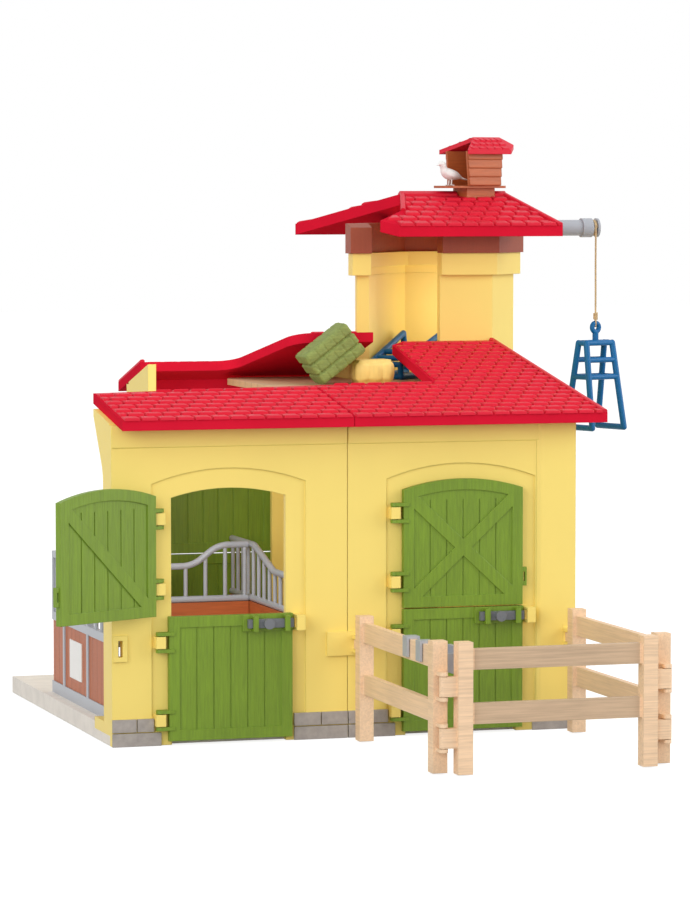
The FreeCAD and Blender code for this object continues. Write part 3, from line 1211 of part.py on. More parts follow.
def corner_lug(x0, x, z, fit):
    """An eye on a tongue along X, from a front post to a corner pin."""
    foot = "%s - corner_lug_h / 2" % z
    start, run = ("fence_l", "%s - (%s)" % (x0, x)) if x == "fence_l" else (x0, "%s - (%s)" % (x, x0))
    tongue = box(gx(start), gy(CORNER_Y + " - knuckle_r"), foot, run, "2 * knuckle_r", "corner_lug_h")
    eye = rod("z", gx(x), gy(CORNER_Y), foot, "knuckle_r", "corner_lug_h")
    hole = rod("z", gx(x), gy(CORNER_Y), foot + " - " + EDGE, "pin_r + " + fit, "corner_lug_h + 2 * " + EDGE)
    return [tongue, eye], hole


def feed_trough():
    """A half-round trough on two hooks over the left panel's upper rail."""
    x = "fence_l + fence_rail_t / 2 + run_gap + strap_t + trough_r"
    y = "-trough_y"
    tub = rod("y", gx(x), gy(y), "trough_rim", "trough_r", "trough_l")
    room = rod("y", gx(x), gy(y + " + trough_t"), "trough_rim", "trough_r - trough_t",
               "trough_l - 2 * trough_t")
    above = box(gx(x + " - 2 * trough_r"), gy(y + " - " + EDGE), "trough_rim", "4 * trough_r",
                "trough_l + 2 * " + EDGE,
                "2 * trough_r")
    parts = [cut(tub, [room, above])]
    rail_top = "fence_rail_b + fence_rail_h"
    outer = "fence_l - fence_rail_t / 2 - run_gap - strap_t"
    span = "fence_rail_t + 2 * run_gap + 2 * strap_t"
    for end in ("strap_in", "trough_l - strap_in - strap_w"):
        at = gy("%s + %s" % (y, end))
        parts.append(box(gx(outer), at, rail_top, span, "strap_w", "strap_t"))
        parts.append(box(gx(outer), at, "fence_rail_b + strap_t", "strap_t", "strap_w", "fence_rail_h"))
        parts.append(box(gx(x + " - trough_r - strap_t"), at, "trough_rim - trough_r / 2", "strap_t",
                         "strap_w",
                         "%s + strap_t - trough_rim + trough_r / 2" % rail_top))
        parts.append(box(gx(x + " - trough_r - strap_t"), at, "trough_rim - trough_t", "strap_t + trough_t",
                         "strap_w", "trough_t"))
    node(fuse(parts), "feed_trough")


def fence():
    wall_clip("fence_clip_left", "fence_l", "clip_plate_l", "fence_l + knuckle_r")
    wall_clip("fence_clip_right", "fence_r", "fence_r - knuckle_r", "wall_w")
    fence_side("fence_left", "fence_l")
    fence_side("fence_right", "fence_r")
    fence_front()
    feed_trough()


def build():
    plinth()
    stone_footings()
    walls()
    doors()
    front_roofs()
    back_roof()
    loft()
    partition()
    stall_front()
    tower()
    tower_roof()
    dovecote()
    dove()
    crane()
    racks()
    hay_bale()
    straw_bundle()
    fence()


def save():
    """Checks every object, then writes one file for each sub-part."""
    doc.recompute()
    for item in doc.Objects:
        if "Invalid" in item.State or "Error" in item.State:
            raise RuntimeError("%s (%s) failed to recompute: %s" % (item.Name, item.Label, item.State))
    for item in nodes:
        if item.Shape.isNull() or not item.Shape.isValid() or not item.Shape.Solids:
            raise RuntimeError("%s has no valid solid" % item.Label)
    os.makedirs("parts", exist_ok=True)
    for item in nodes:
        item.Shape.exportStep(os.path.join("parts", item.Label + ".step"))
    print(len(nodes), "sub-parts written")


build()
save()
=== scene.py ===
import math

import bpy
import numpy as np
from bpy.props import FloatProperty, FloatVectorProperty, IntProperty, PointerProperty
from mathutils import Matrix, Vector


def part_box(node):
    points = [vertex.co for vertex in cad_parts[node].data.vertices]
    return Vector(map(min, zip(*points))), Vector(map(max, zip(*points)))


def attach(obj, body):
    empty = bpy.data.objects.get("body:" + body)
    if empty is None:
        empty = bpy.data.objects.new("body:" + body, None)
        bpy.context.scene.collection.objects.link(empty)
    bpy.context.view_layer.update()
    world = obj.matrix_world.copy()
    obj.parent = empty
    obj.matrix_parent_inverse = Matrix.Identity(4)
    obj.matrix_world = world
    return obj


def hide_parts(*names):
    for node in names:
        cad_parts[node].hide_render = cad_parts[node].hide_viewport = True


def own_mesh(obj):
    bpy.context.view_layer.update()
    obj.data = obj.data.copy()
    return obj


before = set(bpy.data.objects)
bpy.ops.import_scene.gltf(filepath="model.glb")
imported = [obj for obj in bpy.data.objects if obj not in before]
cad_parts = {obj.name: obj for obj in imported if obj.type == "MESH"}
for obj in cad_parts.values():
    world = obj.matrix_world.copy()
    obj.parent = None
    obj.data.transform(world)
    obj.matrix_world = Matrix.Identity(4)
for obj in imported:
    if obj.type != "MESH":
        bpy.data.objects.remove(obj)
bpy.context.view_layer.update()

bl_info = {
    "name": "Toy horse stall",
    "version": (1, 0, 0),
    "blender": (4, 5, 0),
    "location": "3D View > Sidebar > Stall",
    "description": "Dresses the packed toy horse stall: shingled roofs, fodder, dove, rope and finishes",
    "category": "Object",
}

MM = 0.001
# Places are counted in mm from the front wall's lower left corner, and this is the row frame's origin there.
ORIGIN_MM = np.array([110.0, 102.5, 0.0])


def row_frame(points_mm):
    """Points in mm from the front wall's lower left corner, as metres in the row frame."""
    return (np.asarray(points_mm, float) - ORIGIN_MM) * MM


def linear(hex_colour):
    """An sRGB hex colour as three linear values."""
    parts = [int(hex_colour[i:i + 2], 16) / 255 for i in (1, 3, 5)]
    return tuple(p / 12.92 if p <= 0.04045 else ((p + 0.055) / 1.055) ** 2.4 for p in parts)


def paint(name, hex_colour, text):
    """A colour that a user may change."""
    return FloatVectorProperty(name=name, description=text, subtype="COLOR", size=3, min=0, max=1,
                               default=linear(hex_colour))


def length(name, size_mm, text):
    """A length that a user may change."""
    return FloatProperty(name=name, description=text, default=size_mm * MM, min=0, unit="LENGTH",
                         subtype="DISTANCE", precision=4)


class StallColours(bpy.types.PropertyGroup):
    wall: paint("Walls", "#F6DC78", "satin yellow plastic of walls, clips and tower")
    roof: paint("Roofs", "#D51B34", "red plastic of the shingled roofs")
    door: paint("Doors", "#74921E", "leaf green plastic of the door leaves")
    bars: paint("Bars", "#A9ADB4", "silver grey plastic of grilles, frames, trough and crane")
    bolt: paint("Bolts", "#6D7075", "darker grey plastic of the door bolts")
    stone: paint("Stones", "#A59D97", "grey of the stone footings")
    plinth: paint("Base plate", "#EBE4DA", "beige grey of the base plate")
    board: paint("Boards", "#B8602F", "red brown of the stall boards and the dovecote")
    frieze: paint("Frieze", "#944224", "dark brown of the tower's frieze")
    floor: paint("Loft floor", "#DDB68A", "tan of the loft floor")
    fence: paint("Fence", "#F6D2AC", "tan plastic of the fence")
    rack: paint("Racks", "#0D629A", "deep blue plastic of the saddle racks")
    hay: paint("Hay", "#8C9A50", "green of the hay bale")
    straw: paint("Straw", "#F8D67C", "yellow of the straw bundle")
    dove: paint("Dove", "#F1EFEB", "white of the dove")
    rope: paint("Rope", "#C9AE84", "tan of the hoist rope")
    plate: paint("Name plate", "#EFEDE8", "white of the blank name plate")


class StallSizes(bpy.types.PropertyGroup):
    shingle: length("Shingle", 8.2, "width of a roof shingle")
    course: length("Course", 7.9, "one course of shingles, down the slope")
    lip: length("Lip", 1.3, "how far a shingle's lower edge stands up")
    joint: length("Joint", 0.9, "open joint between two shingles")
    eave: length("Eave", 0.7, "how far the lowest course hangs over the eave")
    rim: length("Rim", 2.4, "width of the raised rim along a roof's edge")
    cornice: length("Cornice", 10.2, "height of the band under the eave")
    lap: length("Lap", 0.7, "how far a lap board of the dovecote stands out")
    tuft: length("Tuft", 0.6, "depth of the hay bale's tufts")
    strand: length("Strand", 0.27, "radius of one strand of the rope")
    twists: IntProperty(name="Twists", description="turns of the rope's strands over its length", min=1,
                        default=17)


# Meshes

def linked(name, data):
    """A new object with that data, in the scene."""
    item = bpy.data.objects.new(name, data)
    bpy.context.scene.collection.objects.link(item)
    return item


def grid_faces(rows, columns, wrap=False, flip=False):
    """Quads between the neighbours of a grid of points, whose last column meets the first where it wraps."""
    r, c = np.meshgrid(np.arange(rows - 1), np.arange(columns if wrap else columns - 1), indexing="ij")
    c2 = (c + 1) % columns
    upper, lower = r * columns, (r + 1) * columns
    quads = np.stack([upper + c, upper + c2, lower + c2, lower + c], -1).reshape(-1, 4)
    return quads[:, ::-1] if flip else quads


def make_piece(name, shape, finish, body="building", replaces=(), smooth=True):
    """A mesh that rides on a body. Its shape is points in metres and arrays of faces, where the faces of one
    array have the same count of corners."""
    points, faces = shape
    loops = np.concatenate([f.ravel() for f in faces]).astype(np.int32)
    totals = np.concatenate([np.full(len(f), f.shape[1]) for f in faces])
    mesh = bpy.data.meshes.new(name)
    mesh.vertices.add(len(points))
    mesh.vertices.foreach_set("co", points.astype(np.float32).ravel())
    mesh.loops.add(len(loops))
    mesh.loops.foreach_set("vertex_index", loops)
    mesh.polygons.add(len(totals))
    mesh.polygons.foreach_set("loop_start", (np.cumsum(totals) - totals).astype(np.int32))
    mesh.polygons.foreach_set("use_smooth", np.full(len(totals), smooth))
    mesh.update(calc_edges=True)
    if mesh.validate():
        raise RuntimeError(name + " has faulty faces")
    mesh.materials.append(finish_for(finish))
    piece = linked(name, mesh)
    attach(piece, body)
    if replaces:
        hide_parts(*replaces)
    return piece


def relief(corners, normal, height, across, down):
    """Raised patches: each is bilinear over its corners (upper left, upper right, lower right, lower left)
    and lifted along the normal by height times one profile across it times one profile down it.
    Both profiles are rows of (place from 0 to 1, share of the height). A last face closes each below."""
    corners, across, down = (np.asarray(a, float) for a in (corners, across, down))
    u, v = np.meshgrid(across[:, 0], down[:, 0], indexing="ij")
    weights = np.stack([(1 - u) * (1 - v), u * (1 - v), u * v, (1 - u) * v])
    lift = height * np.outer(across[:, 1], down[:, 1])[None, :, :, None] * np.asarray(normal, float)
    points = np.einsum("kuv,nkd->nuvd", weights, corners) + lift
    rows, columns = u.shape
    first = corners[0]
    flip = np.dot(np.cross(first[1] - first[0], first[3] - first[0]), normal) > 0
    quads = grid_faces(rows, columns, flip=not flip)
    index = np.arange(rows * columns).reshape(rows, columns)
    rim = np.concatenate([index[:-1, 0], index[-1, :-1], index[:0:-1, -1], index[0, :0:-1]])
    rim = rim[::-1] if flip else rim
    start = (np.arange(len(corners)) * rows * columns)[:, None, None]
    faces = [(f + start).reshape(-1, f.shape[-1]) for f in (quads[None], rim[None, None])]
    return points.reshape(-1, 3), faces


def sweep(path, profile, side, up):
    """A closed profile of (side, up) pairs carried along a path, with both ends closed."""
    path, profile, side, up = (np.asarray(a, float) for a in (path, profile, side, up))
    points = path[:, None] + profile[None, :, :1] * side + profile[None, :, 1:] * up
    rows, columns = points.shape[:2]
    area = np.sum(profile[:, 0] * np.roll(profile[:, 1], -1) - np.roll(profile[:, 0], -1) * profile[:, 1])
    flip = (np.dot(np.cross(side, up), path[1] - path[0]) > 0) == (area > 0)
    quads = grid_faces(rows, columns, wrap=True, flip=not flip)
    ends = np.stack([np.arange(columns)[::-1], np.arange(columns) + (rows - 1) * columns])
    return points.reshape(-1, 3), [quads, ends if flip else ends[:, ::-1]]


def joined(*shapes):
    """Several (points, faces) shapes as one."""
    points, by_size, start = [], {}, 0
    for shape_points, faces in shapes:
        for face in faces:
            by_size.setdefault(face.shape[1], []).append(face + start)
        points.append(shape_points)
        start += len(shape_points)
    return np.concatenate(points), [np.concatenate(f) for f in by_size.values()]


def unit(vectors):
    """Vectors at length 1."""
    return vectors / np.maximum(np.linalg.norm(vectors, axis=-1, keepdims=True), 1e-12)


def capped(points):
    """Faces that join rows of rings of points into a tube and close both its ends."""
    rows, sides = points.shape[:2]
    ring = np.arange(sides)
    return [grid_faces(rows, sides, wrap=True), np.stack([ring, (ring + (rows - 1) * sides)[::-1]])]


def tube(path, radius, sides):
    """A round tube along a path: a circle in the plane across the path, turned as little as possible."""
    path = np.asarray(path, float)
    tangent = unit(np.gradient(path, axis=0))
    pick = np.eye(3)[np.argmin(np.abs(tangent).max(0))]
    side = unit(np.cross(tangent, pick))
    up = np.cross(tangent, side)
    angle = np.linspace(0, 2 * np.pi, sides, endpoint=False)[None, :, None]
    points = path[:, None] + radius * (np.cos(angle) * side[:, None] + np.sin(angle) * up[:, None])
    return points.reshape(-1, 3), capped(points)


# Finishes

def add(tree, kind, inputs=None, **settings):
    """A node of that kind with its settings; an input is a value or the socket that feeds it."""
    node = tree.nodes.new("ShaderNode" + kind)
    for key, value in settings.items():
        setattr(node, key, value)
    for key, value in (inputs or {}).items():
        if isinstance(value, bpy.types.NodeSocket):
            tree.links.new(value, node.inputs[key])
        else:
            node.inputs[key].default_value = value
    return node


def rgba(colour, gain):
    """A colour made lighter or darker by a gain, with its alpha."""
    return (*[min(1.0, c * gain) for c in colour], 1.0)


def fresh_tree(owner):
    """The emptied node tree of a new material or world."""
    owner.use_nodes = True
    owner.node_tree.nodes.clear()
    return owner.node_tree


def mixed(tree, factor, first, second, **settings):
    """Two colours mixed by a factor."""
    return add(tree, "Mix", {"Factor": factor, "A": first, "B": second}, data_type="RGBA",
               **settings).outputs["Result"]


def ranged(tree, value, start, stop, low, high):
    """A value between start and stop, carried over to low and high."""
    return add(tree, "MapRange", {"Value": value, "From Min": start, "From Max": stop, "To Min": low,
                                  "To Max": high}).outputs[0]


def bumped(tree, normal, height, strength, deep_mm, **settings):
    """A normal tilted by the slope of a height."""
    return add(tree, "Bump", {"Height": height, "Strength": strength, "Distance": deep_mm * MM,
                              "Normal": normal}, **settings).outputs[0]


# Brightness of the fibres' veins, of the painted shade in the grooves between boards and of the paler edges,
# partly wear and partly painted highlight, next to the plain colour.
VEIN_TONE, GROOVE_SHADE_TONE, WEAR_AND_HIGHLIGHT_TONE = 0.35, 0.45, 1.35
# How much the grain changes the roughness, up and down.
GLOSS_SPREAD = 0.06


def moulded(name, colour, rough, shade=(0.05, 30), grain=(0.6, 0.02), edge=(0.35, 0.5), ior=1.5, fibre=None,
            bands=None, painted_shade=None):
    """Moulded plastic, with lengths in mm. shade is (share, size) of a broad shift of shade, grain is (size,
    depth) of the mould's grain, edge is (share, radius) of paler edges, partly wear and partly painted
    highlight, fibre is (sizes along X, Y and Z, depth, share) of wood fibres, bands is (axis, pitch, width,
    depth) of the grooves between boards, darkened by painted shade, and the last is (middle, reach, share)
    of a stretch along X darkened by painted shade."""
    material = bpy.data.materials.new(name)
    tree = fresh_tree(material)
    spot = add(tree, "TexCoord").outputs["Object"]
    broad = add(tree, "TexNoise", {"Vector": spot, "Scale": 1000 / shade[1], "Detail": 3.0,
                                   "Roughness": 0.55}).outputs["Fac"]
    tone = ranged(tree, broad, 0.3, 0.7, 0.0, 1.0)
    base = mixed(tree, tone, rgba(colour, 1 - shade[0]), rgba(colour, 1 + shade[0]))
    normal = add(tree, "Bevel", {"Radius": edge[1] * MM}, samples=4).outputs["Normal"]
    facing = add(tree, "NewGeometry").outputs["Normal"]
    turn = add(tree, "VectorMath", {0: normal, 1: facing}, operation="DOT_PRODUCT").outputs["Value"]
    # Paler edges where the rounded normal turns from the face: partly wear, partly painted highlight.
    wear_and_highlight = ranged(tree, turn, 0.98, 0.80, 0.0, edge[0])
    if fibre:
        fibre_mm, deep, share = fibre
        stretched = add(tree, "Mapping", {"Vector": spot, "Scale": [1000 / f for f in fibre_mm]}).outputs[0]
        veins = add(tree, "TexNoise", {"Vector": stretched, "Scale": 1.0, "Detail": 4.0, "Roughness": 0.6,
                                       "Distortion": 0.4}).outputs["Fac"]
        base = mixed(tree, ranged(tree, veins, 0.35, 0.62, share, 0.0), base, rgba(colour, VEIN_TONE))
        normal = bumped(tree, normal, veins, 0.8, deep)
    if bands:
        axis, pitch, width, deep = bands
        place = add(tree, "SeparateXYZ", {"Vector": spot}).outputs[axis]
        saw = add(tree, "Math", {0: place, 1: pitch * MM}, operation="PINGPONG").outputs[0]
        groove = ranged(tree, saw, 0.0, width / 2 * MM, 1.0, 0.0)
        # Painted shade darkens the grooves between boards.
        base = mixed(tree, groove, base, rgba(colour, GROOVE_SHADE_TONE))
        normal = bumped(tree, normal, groove, 1.0, deep, invert=True)
    # A stretch along X darkened by painted shade.
    if painted_shade:
        middle, reach, share = painted_shade
        along = add(tree, "SeparateXYZ", {"Vector": spot}).outputs["X"]
        inside = add(tree, "Math", {0: along, 1: middle * MM, 2: reach * MM}, operation="COMPARE").outputs[0]
        base = mixed(tree, inside, base, (share, share, share, 1.0), blend_type="MULTIPLY")
    # The paler edges go in here: partly wear, partly painted highlight.
    base = mixed(tree, wear_and_highlight, base, rgba(colour, WEAR_AND_HIGHLIGHT_TONE))
    specks = add(tree, "TexNoise", {"Vector": spot, "Scale": 1000 / grain[0], "Detail": 2.0}).outputs["Fac"]
    normal = bumped(tree, normal, specks, 0.6, grain[1])
    gloss = ranged(tree, specks, 0.3, 0.7, max(rough - GLOSS_SPREAD, 0), rough + GLOSS_SPREAD)
    shader = add(tree, "BsdfPrincipled", {"Base Color": base, "Roughness": gloss, "Normal": normal,
                                          "IOR": ior})
    add(tree, "OutputMaterial", {"Surface": shader.outputs[0]})
    return material


# The front panel's rails are darkened by painted shade between the ends of its posts.
POST_END_MM = 15.3
RAIL_SHADE = 0.66


def front_rails():
    """Where the front panel shows only its rails: middle and reach in mm, and the painted shade's share."""
    low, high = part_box("fence_front")
    return (low[0] + high[0]) / 2 / MM, (high[0] - low[0]) / 2 / MM - POST_END_MM, RAIL_SHADE


# One row for each finish: its paint, its roughness, and what else moulded() is told.
FINISHES = {
    # Injection-moulded ABS from a spark-eroded mould: satin, even colour, a fine grain and soft paler edges,
    # partly wear and partly painted highlight.
    "abs_wall_satin": ("wall", 0.46, dict(shade=(0.025, 60), edge=(0.30, 0.6), ior=1.4)),
    # The same ABS from a polished mould, so the shingles' lips catch the light; their paler edges are partly
    # wear and partly painted highlight.
    "abs_roof_red": ("roof", 0.42, dict(shade=(0.04, 18), edge=(0.30, 0.35), ior=1.3)),
    # The roofs' undersides and edges, matt where the mould was left as it was cut.
    "abs_roof_matt": ("roof", 0.8, dict(shade=(0.04, 18), edge=(0.15, 0.35), ior=1.06)),
    # ABS leaves with board grain cut into the mould: long upright fibres, deeper tone in the veins.
    "abs_door_boards": ("door", 0.48, dict(
        shade=(0.06, 30), edge=(0.35, 0.4), fibre=((0.9, 0.9, 16), 0.16, 0.30))),
    # ABS with aluminium pigment: a cool grey satin with a faint shimmer.
    "abs_silver_grey": ("bars", 0.36, dict(shade=(0.04, 30), edge=(0.35, 0.4), grain=(0.4, 0.02))),
    # The bolts' darker grey, a little glossier where fingers polish it.
    "abs_bolt_grey": ("bolt", 0.32, dict(shade=(0.06, 30), edge=(0.5, 0.35))),
    # Moulded stone relief in matt ABS: mottled, pitted and rough.
    "abs_moulded_stone": ("stone", 0.68, dict(shade=(0.14, 4), edge=(0.4, 0.6), grain=(1.1, 0.14))),
    # Matt polystyrene base plate with a sanded look.
    "polystyrene_base": ("plinth", 0.7, dict(shade=(0.06, 9), edge=(0.3, 0.6), grain=(0.8, 0.08))),
    # Brown ABS boards with upright grain and open joints, with painted shade in the joints.
    "abs_board_brown": ("board", 0.5, dict(
        shade=(0.07, 30), edge=(0.35, 0.35), bands=("Y", 4.2, 0.6, 0.35),
        fibre=((0.9, 0.9, 14), 0.12, 0.28))),
    # The same ABS with level grain and no joints, for the partitions and the dovecote.
    "abs_board_plain": ("board", 0.5, dict(
        shade=(0.07, 30), edge=(0.35, 0.3), fibre=((14, 14, 0.9), 0.1, 0.24))),
    # Dark brown ABS of the frieze, smooth with a faint grain.
    "abs_frieze_brown": ("frieze", 0.5, dict(edge=(0.3, 0.4), fibre=((1.2, 1.2, 12), 0.05, 0.12))),
    # Tan ABS floor with boards along the front, with painted shade in the joints between them.
    "abs_floor_tan": ("floor", 0.55, dict(
        shade=(0.06, 30), edge=(0.3, 0.4), bands=("Y", 5.5, 0.7, 0.4), fibre=((18, 1.1, 1.1), 0.1, 0.22))),
    # Tan ABS fence with sawn wood grain along its rails, and painted shade on the front panel's rails; one
    # recipe for each way that the rails run.
    "abs_fence_along_x": ("fence", 0.5, dict(fibre=((26, 0.9, 0.9), 0.12, 0.30), painted_shade=front_rails())),
    "abs_fence_along_y": ("fence", 0.5, dict(fibre=((0.9, 26, 0.9), 0.12, 0.22))),
    # Blue polypropylene: smooth, with broad soft highlights.
    "polypropylene_blue": ("rack", 0.34, dict(edge=(0.15, 0.5), grain=(0.6, 0.006), ior=1.3)),
    # Hay pressed in a mould: matt green with crossing stalks.
    "pvc_hay_green": ("hay", 0.72, dict(
        shade=(0.14, 3), edge=(0.2, 0.5), grain=(0.7, 0.1), fibre=((5, 1.0, 1.0), 0.35, 0.35))),
    # Straw moulded in soft PVC: warm yellow with fine upright stalks.
    "pvc_straw_yellow": ("straw", 0.6, dict(
        shade=(0.06, 5), edge=(0.2, 0.5), fibre=((0.8, 0.8, 12), 0.06, 0.08))),
    # White PVC of the dove, matt.
    "pvc_dove_white": ("dove", 0.55, dict(shade=(0.04, 3), edge=(0.0, 0.2))),
    # Twisted cotton cord: fuzzy, darker in the lay between its strands.
    "cotton_rope": ("rope", 0.85, dict(shade=(0.12, 1.2), edge=(0.0, 0.1), grain=(0.25, 0.06))),
    # White polystyrene of the plain name plate.
    "polystyrene_plate": ("plate", 0.4, dict(shade=(0.02, 30), edge=(0.2, 0.3))),
}


def finish_for(key):
    """The material of that name, made once."""
    if key in bpy.data.materials:
        return bpy.data.materials[key]
    colour, rough, others = FINISHES[key]
    return moulded(key, getattr(bpy.context.scene.stall_colours, colour), rough, **others)


def dress(key, *nodes):
    """Gives CAD nodes a finish."""
    material = finish_for(key)
    for name in nodes:
        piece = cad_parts[name]
        if not piece.material_slots:
            piece.data.materials.append(material)
        for slot in piece.material_slots:
            slot.material = material


# Roofs

# A shingle across its width and from its upper end to its lip: (place, share of the lip's height).
SHINGLE_ACROSS = ((0, 0), (0.03, 0.75), (0.10, 1), (0.90, 1), (0.97, 0.75), (1, 0))
SHINGLE_DOWN = ((0, 0.12), (0.25, 0.4), (0.84, 1), (0.95, 0.82), (1, 0.0))
# Shingles and rims start this far below the roof's face.
SINK_MM = 0.06
# A shingle that a roof's edge trims below this share of its area, or below this width, is left off.
LEAST_AREA, LEAST_WIDTH_MM = 0.16, 0.4
# Height of a rim next to a shingle's lip.
RIM_RISE = 1.1


def roof_top(y, eave, z_eave, slope, way):
    """Height of a roof's upper face: it rises from the eave towards +Y for way 1 and -Y for way -1."""
    return z_eave + way * (y - eave) * math.tan(math.radians(slope))


def roof_normal(slope, way):
    """Direction square to a roof's upper face."""
    tilt = math.radians(slope)
    return np.array([0, -way * math.sin(tilt), math.cos(tilt)])


def edge_at(edge, places):
    """Where an edge is at those places. It is one number, or a polyline of (places, where it is there)."""
    return np.interp(places, *edge) if isinstance(edge, tuple) else edge


def shingles(sizes, field, eave, z_eave, slope, way):
    """Shingles as wedges: each rises from its upper end to its lip, square to the roof. They lie course by
    course from the eave, every other course set off by half a width. A field is (x_from, x_to, ridge, inner,
    first, last): the inner edge trims a shingle towards the ridge, then first and last trim its sides."""
    x_from, x_to, ridge, inner, first, last = field
    wide, deep = sizes.shingle / MM, sizes.course / MM * math.cos(math.radians(slope))
    gap = sizes.joint / MM
    rows = np.arange(math.ceil(abs(ridge - eave) / deep))
    columns = np.arange(-1, math.ceil((x_to - x_from) / wide) + 1)
    r, c = (a.ravel() for a in np.meshgrid(rows, columns, indexing="ij"))
    left = x_from + (c + 0.5 * (r % 2)) * wide + gap / 2
    right = left + wide - gap
    low, high = eave + way * r * deep, eave + way * (r + 1) * deep
    low = low - way * np.where(r == 0, sizes.eave / MM, 0)
    x = np.clip(np.stack([left, right, right, left], 1), x_from, x_to)
    y = np.stack([high, high, low, low], 1)
    y = way * np.minimum(way * y, way * edge_at(inner, x))
    x = np.clip(x, edge_at(first, y), edge_at(last, y))
    area = (x[:, 0] - x[:, 2]) * (y[:, 1] - y[:, 3]) - (x[:, 1] - x[:, 3]) * (y[:, 0] - y[:, 2])
    width = np.minimum(x[:, 1] - x[:, 0], x[:, 2] - x[:, 3])
    keep = (0.5 * np.abs(area) > LEAST_AREA * wide * deep) & (width > LEAST_WIDTH_MM)
    x, y = x[keep], y[keep]
    normal = roof_normal(slope, way)
    corners = np.stack([x, y, roof_top(y, eave, z_eave, slope, way)], -1) - SINK_MM * normal
    return relief(row_frame(corners), normal, sizes.lip, SHINGLE_ACROSS, SHINGLE_DOWN)


def rim_along(sizes, ends, inward, eave, z_eave, slope, way):
    """A raised rim on a roof's edge: a rounded low profile between two plan points, on the +X side of their
    line for inward 1 and on the -X side for inward -1."""
    ends = np.asarray(ends, float)
    path = row_frame(np.column_stack([ends, roof_top(ends[:, 1], eave, z_eave, slope, way)]))
    normal = roof_normal(slope, way)
    side = unit(np.cross(normal, path[1] - path[0]))
    side = side if side[0] * inward > 0 else -side
    wide, high, sink = sizes.rim, sizes.lip * RIM_RISE, -SINK_MM * MM
    profile = [(0, sink), (wide, sink), (wide, 0.6 * high), (0.8 * wide, 0.95 * high), (0.5 * wide, high),
               (0.15 * wide, 0.9 * high), (0, 0.55 * high)]
    return sweep(path, profile, side, normal)


# The roofs' upper faces, in mm and degrees; the tower's ridge; the notch in the right front roof.
FRONT = {"eave": -11.0, "z_eave": 146.7, "slope": 9.8, "way": 1}
BACK = {"eave": 222.0, "z_eave": 152.2, "slope": 15.0, "way": -1}
CAP_FRONT = {"eave": 128.0, "z_eave": 231.0, "slope": 17.5, "way": 1}
CAP_BACK = {"eave": 224.0, "z_eave": 231.0, "slope": 17.5, "way": -1}
RIDGE_Y = 176
NOTCH_X = 168.0
# Edges of the shingles: the front roof's inner edge, the deep part's left edge with its cut tip, the back
# roof's swoop with its rounded end and the tower beside it, and on the tower the cut corner with the notch,
# the left hip at the back, and the right hips inside their rims.
FRONT_INNER = ((2.5, 337.5), (42.6, 71.6))
DEEP_LEFT = ((55, 58, 138, 146.2), (NOTCH_X, 171.4, 177.4, 185.6))
SWOOP = ((120.5, 123, 126, 129.5, 176, 179), (131.5, 127, 124, 121.4, 109.4, 107))
TOWER_SIDE = ((120, 149.2, 205, 222), (159, 159, 199.6, 199.6))
CAP_LEFT = ((127, 128, 135.2, 150, 152, 176), (177, 176.6, 169.6, 184.8, 187.2, 194.6))
LEFT_HIP = ((RIDGE_Y, 272), (192.2, 112.2))
RIGHT_HIPS = ((80, RIDGE_Y, 272), (271.7, 244.9, 271.7))
# One row for each piece: its slope, its fields as shingles() takes them, its rims' ends and inward side.
ROOFS = {
    "shingles_front_left": (FRONT, [(2.8, 109.4, 60, FRONT_INNER, 3.4, 109.2)], []),
    "shingles_front_right": (
        FRONT, [(110.6, 229.4, 60, FRONT_INNER, 110.8, NOTCH_X), (110.6, 229.4, 147, 145.3, DEEP_LEFT, 229)],
        [((231.4, -11), (231.4, 146.1), -1)]),
    "shingles_back": (
        BACK, [(59.2, 200.6, 178, 179, 61.4, 107), (59.2, 200.6, 119, 121, SWOOP, TOWER_SIDE)],
        [((58.9, 222), (58.9, 178.2), 1)]),
    "shingles_tower_front": (
        CAP_FRONT, [(168, 261, 173.6, 172.6, CAP_LEFT, RIGHT_HIPS)],
        [((260.8, 128), (247.4, 175.8), -1), ((184.2, 150.2), (192.1, 175.8), 1)]),
    "shingles_tower_back": (
        CAP_BACK, [(152, 261, 178.4, 179.4, LEFT_HIP, RIGHT_HIPS)], [((260.8, 224), (247.4, 176.2), -1)]),
}
# The ridge's saddle on both sides of the dovecote: half its width, and its ends along X.
SADDLE_HALF = 3.4
SADDLES = {"shingles_tower_back": ((192.2, 221.2), (240.6, 247.3))}


class STALL_OT_roofs(bpy.types.Operator):
    """Shingles, rims and ridge on the roofs"""
    bl_idname = "stall.roofs"
    bl_label = "Roofs"

    def execute(self, context):
        sizes = context.scene.stall_sizes
        dress("abs_roof_matt", "roof_front_left", "roof_front_right", "roof_back",
              "tower_roof_front", "tower_roof_back")
        dress("abs_roof_red", "dovecote_roof")
        for name, (slope, fields, rims) in ROOFS.items():
            shapes = [shingles(sizes, field, **slope) for field in fields]
            shapes += [rim_along(sizes, (start, stop), inward, **slope) for start, stop, inward in rims]
            shapes += [self.ridge(sizes, x0, x1) for x0, x1 in SADDLES.get(name, ())]
            make_piece(name, joined(*shapes), "abs_roof_red", smooth=False)
        return {"FINISHED"}

    def ridge(self, sizes, x0, x1):
        """A saddle over the ridge: both slopes' upper faces, raised by the lip."""
        half, lip = SADDLE_HALF, sizes.lip / MM
        drop = half * math.tan(math.radians(CAP_FRONT["slope"]))
        z = roof_top(RIDGE_Y, **CAP_FRONT)
        profile = [(-half, -drop - SINK_MM), (0, -SINK_MM), (half, -drop - SINK_MM), (half, lip - drop),
                   (0.6, 1.2 * lip), (-0.6, 1.2 * lip), (-half, lip - drop)]
        path = row_frame([(x0, RIDGE_Y, z), (x1, RIDGE_Y, z)])
        return sweep(path, np.array(profile) * MM, (0, 1, 0), (0, 0, 1))


# Top of the band under the front eave, and the right end of the front wall.
BAND_TOP, WALL_END = 143.8, 219.8


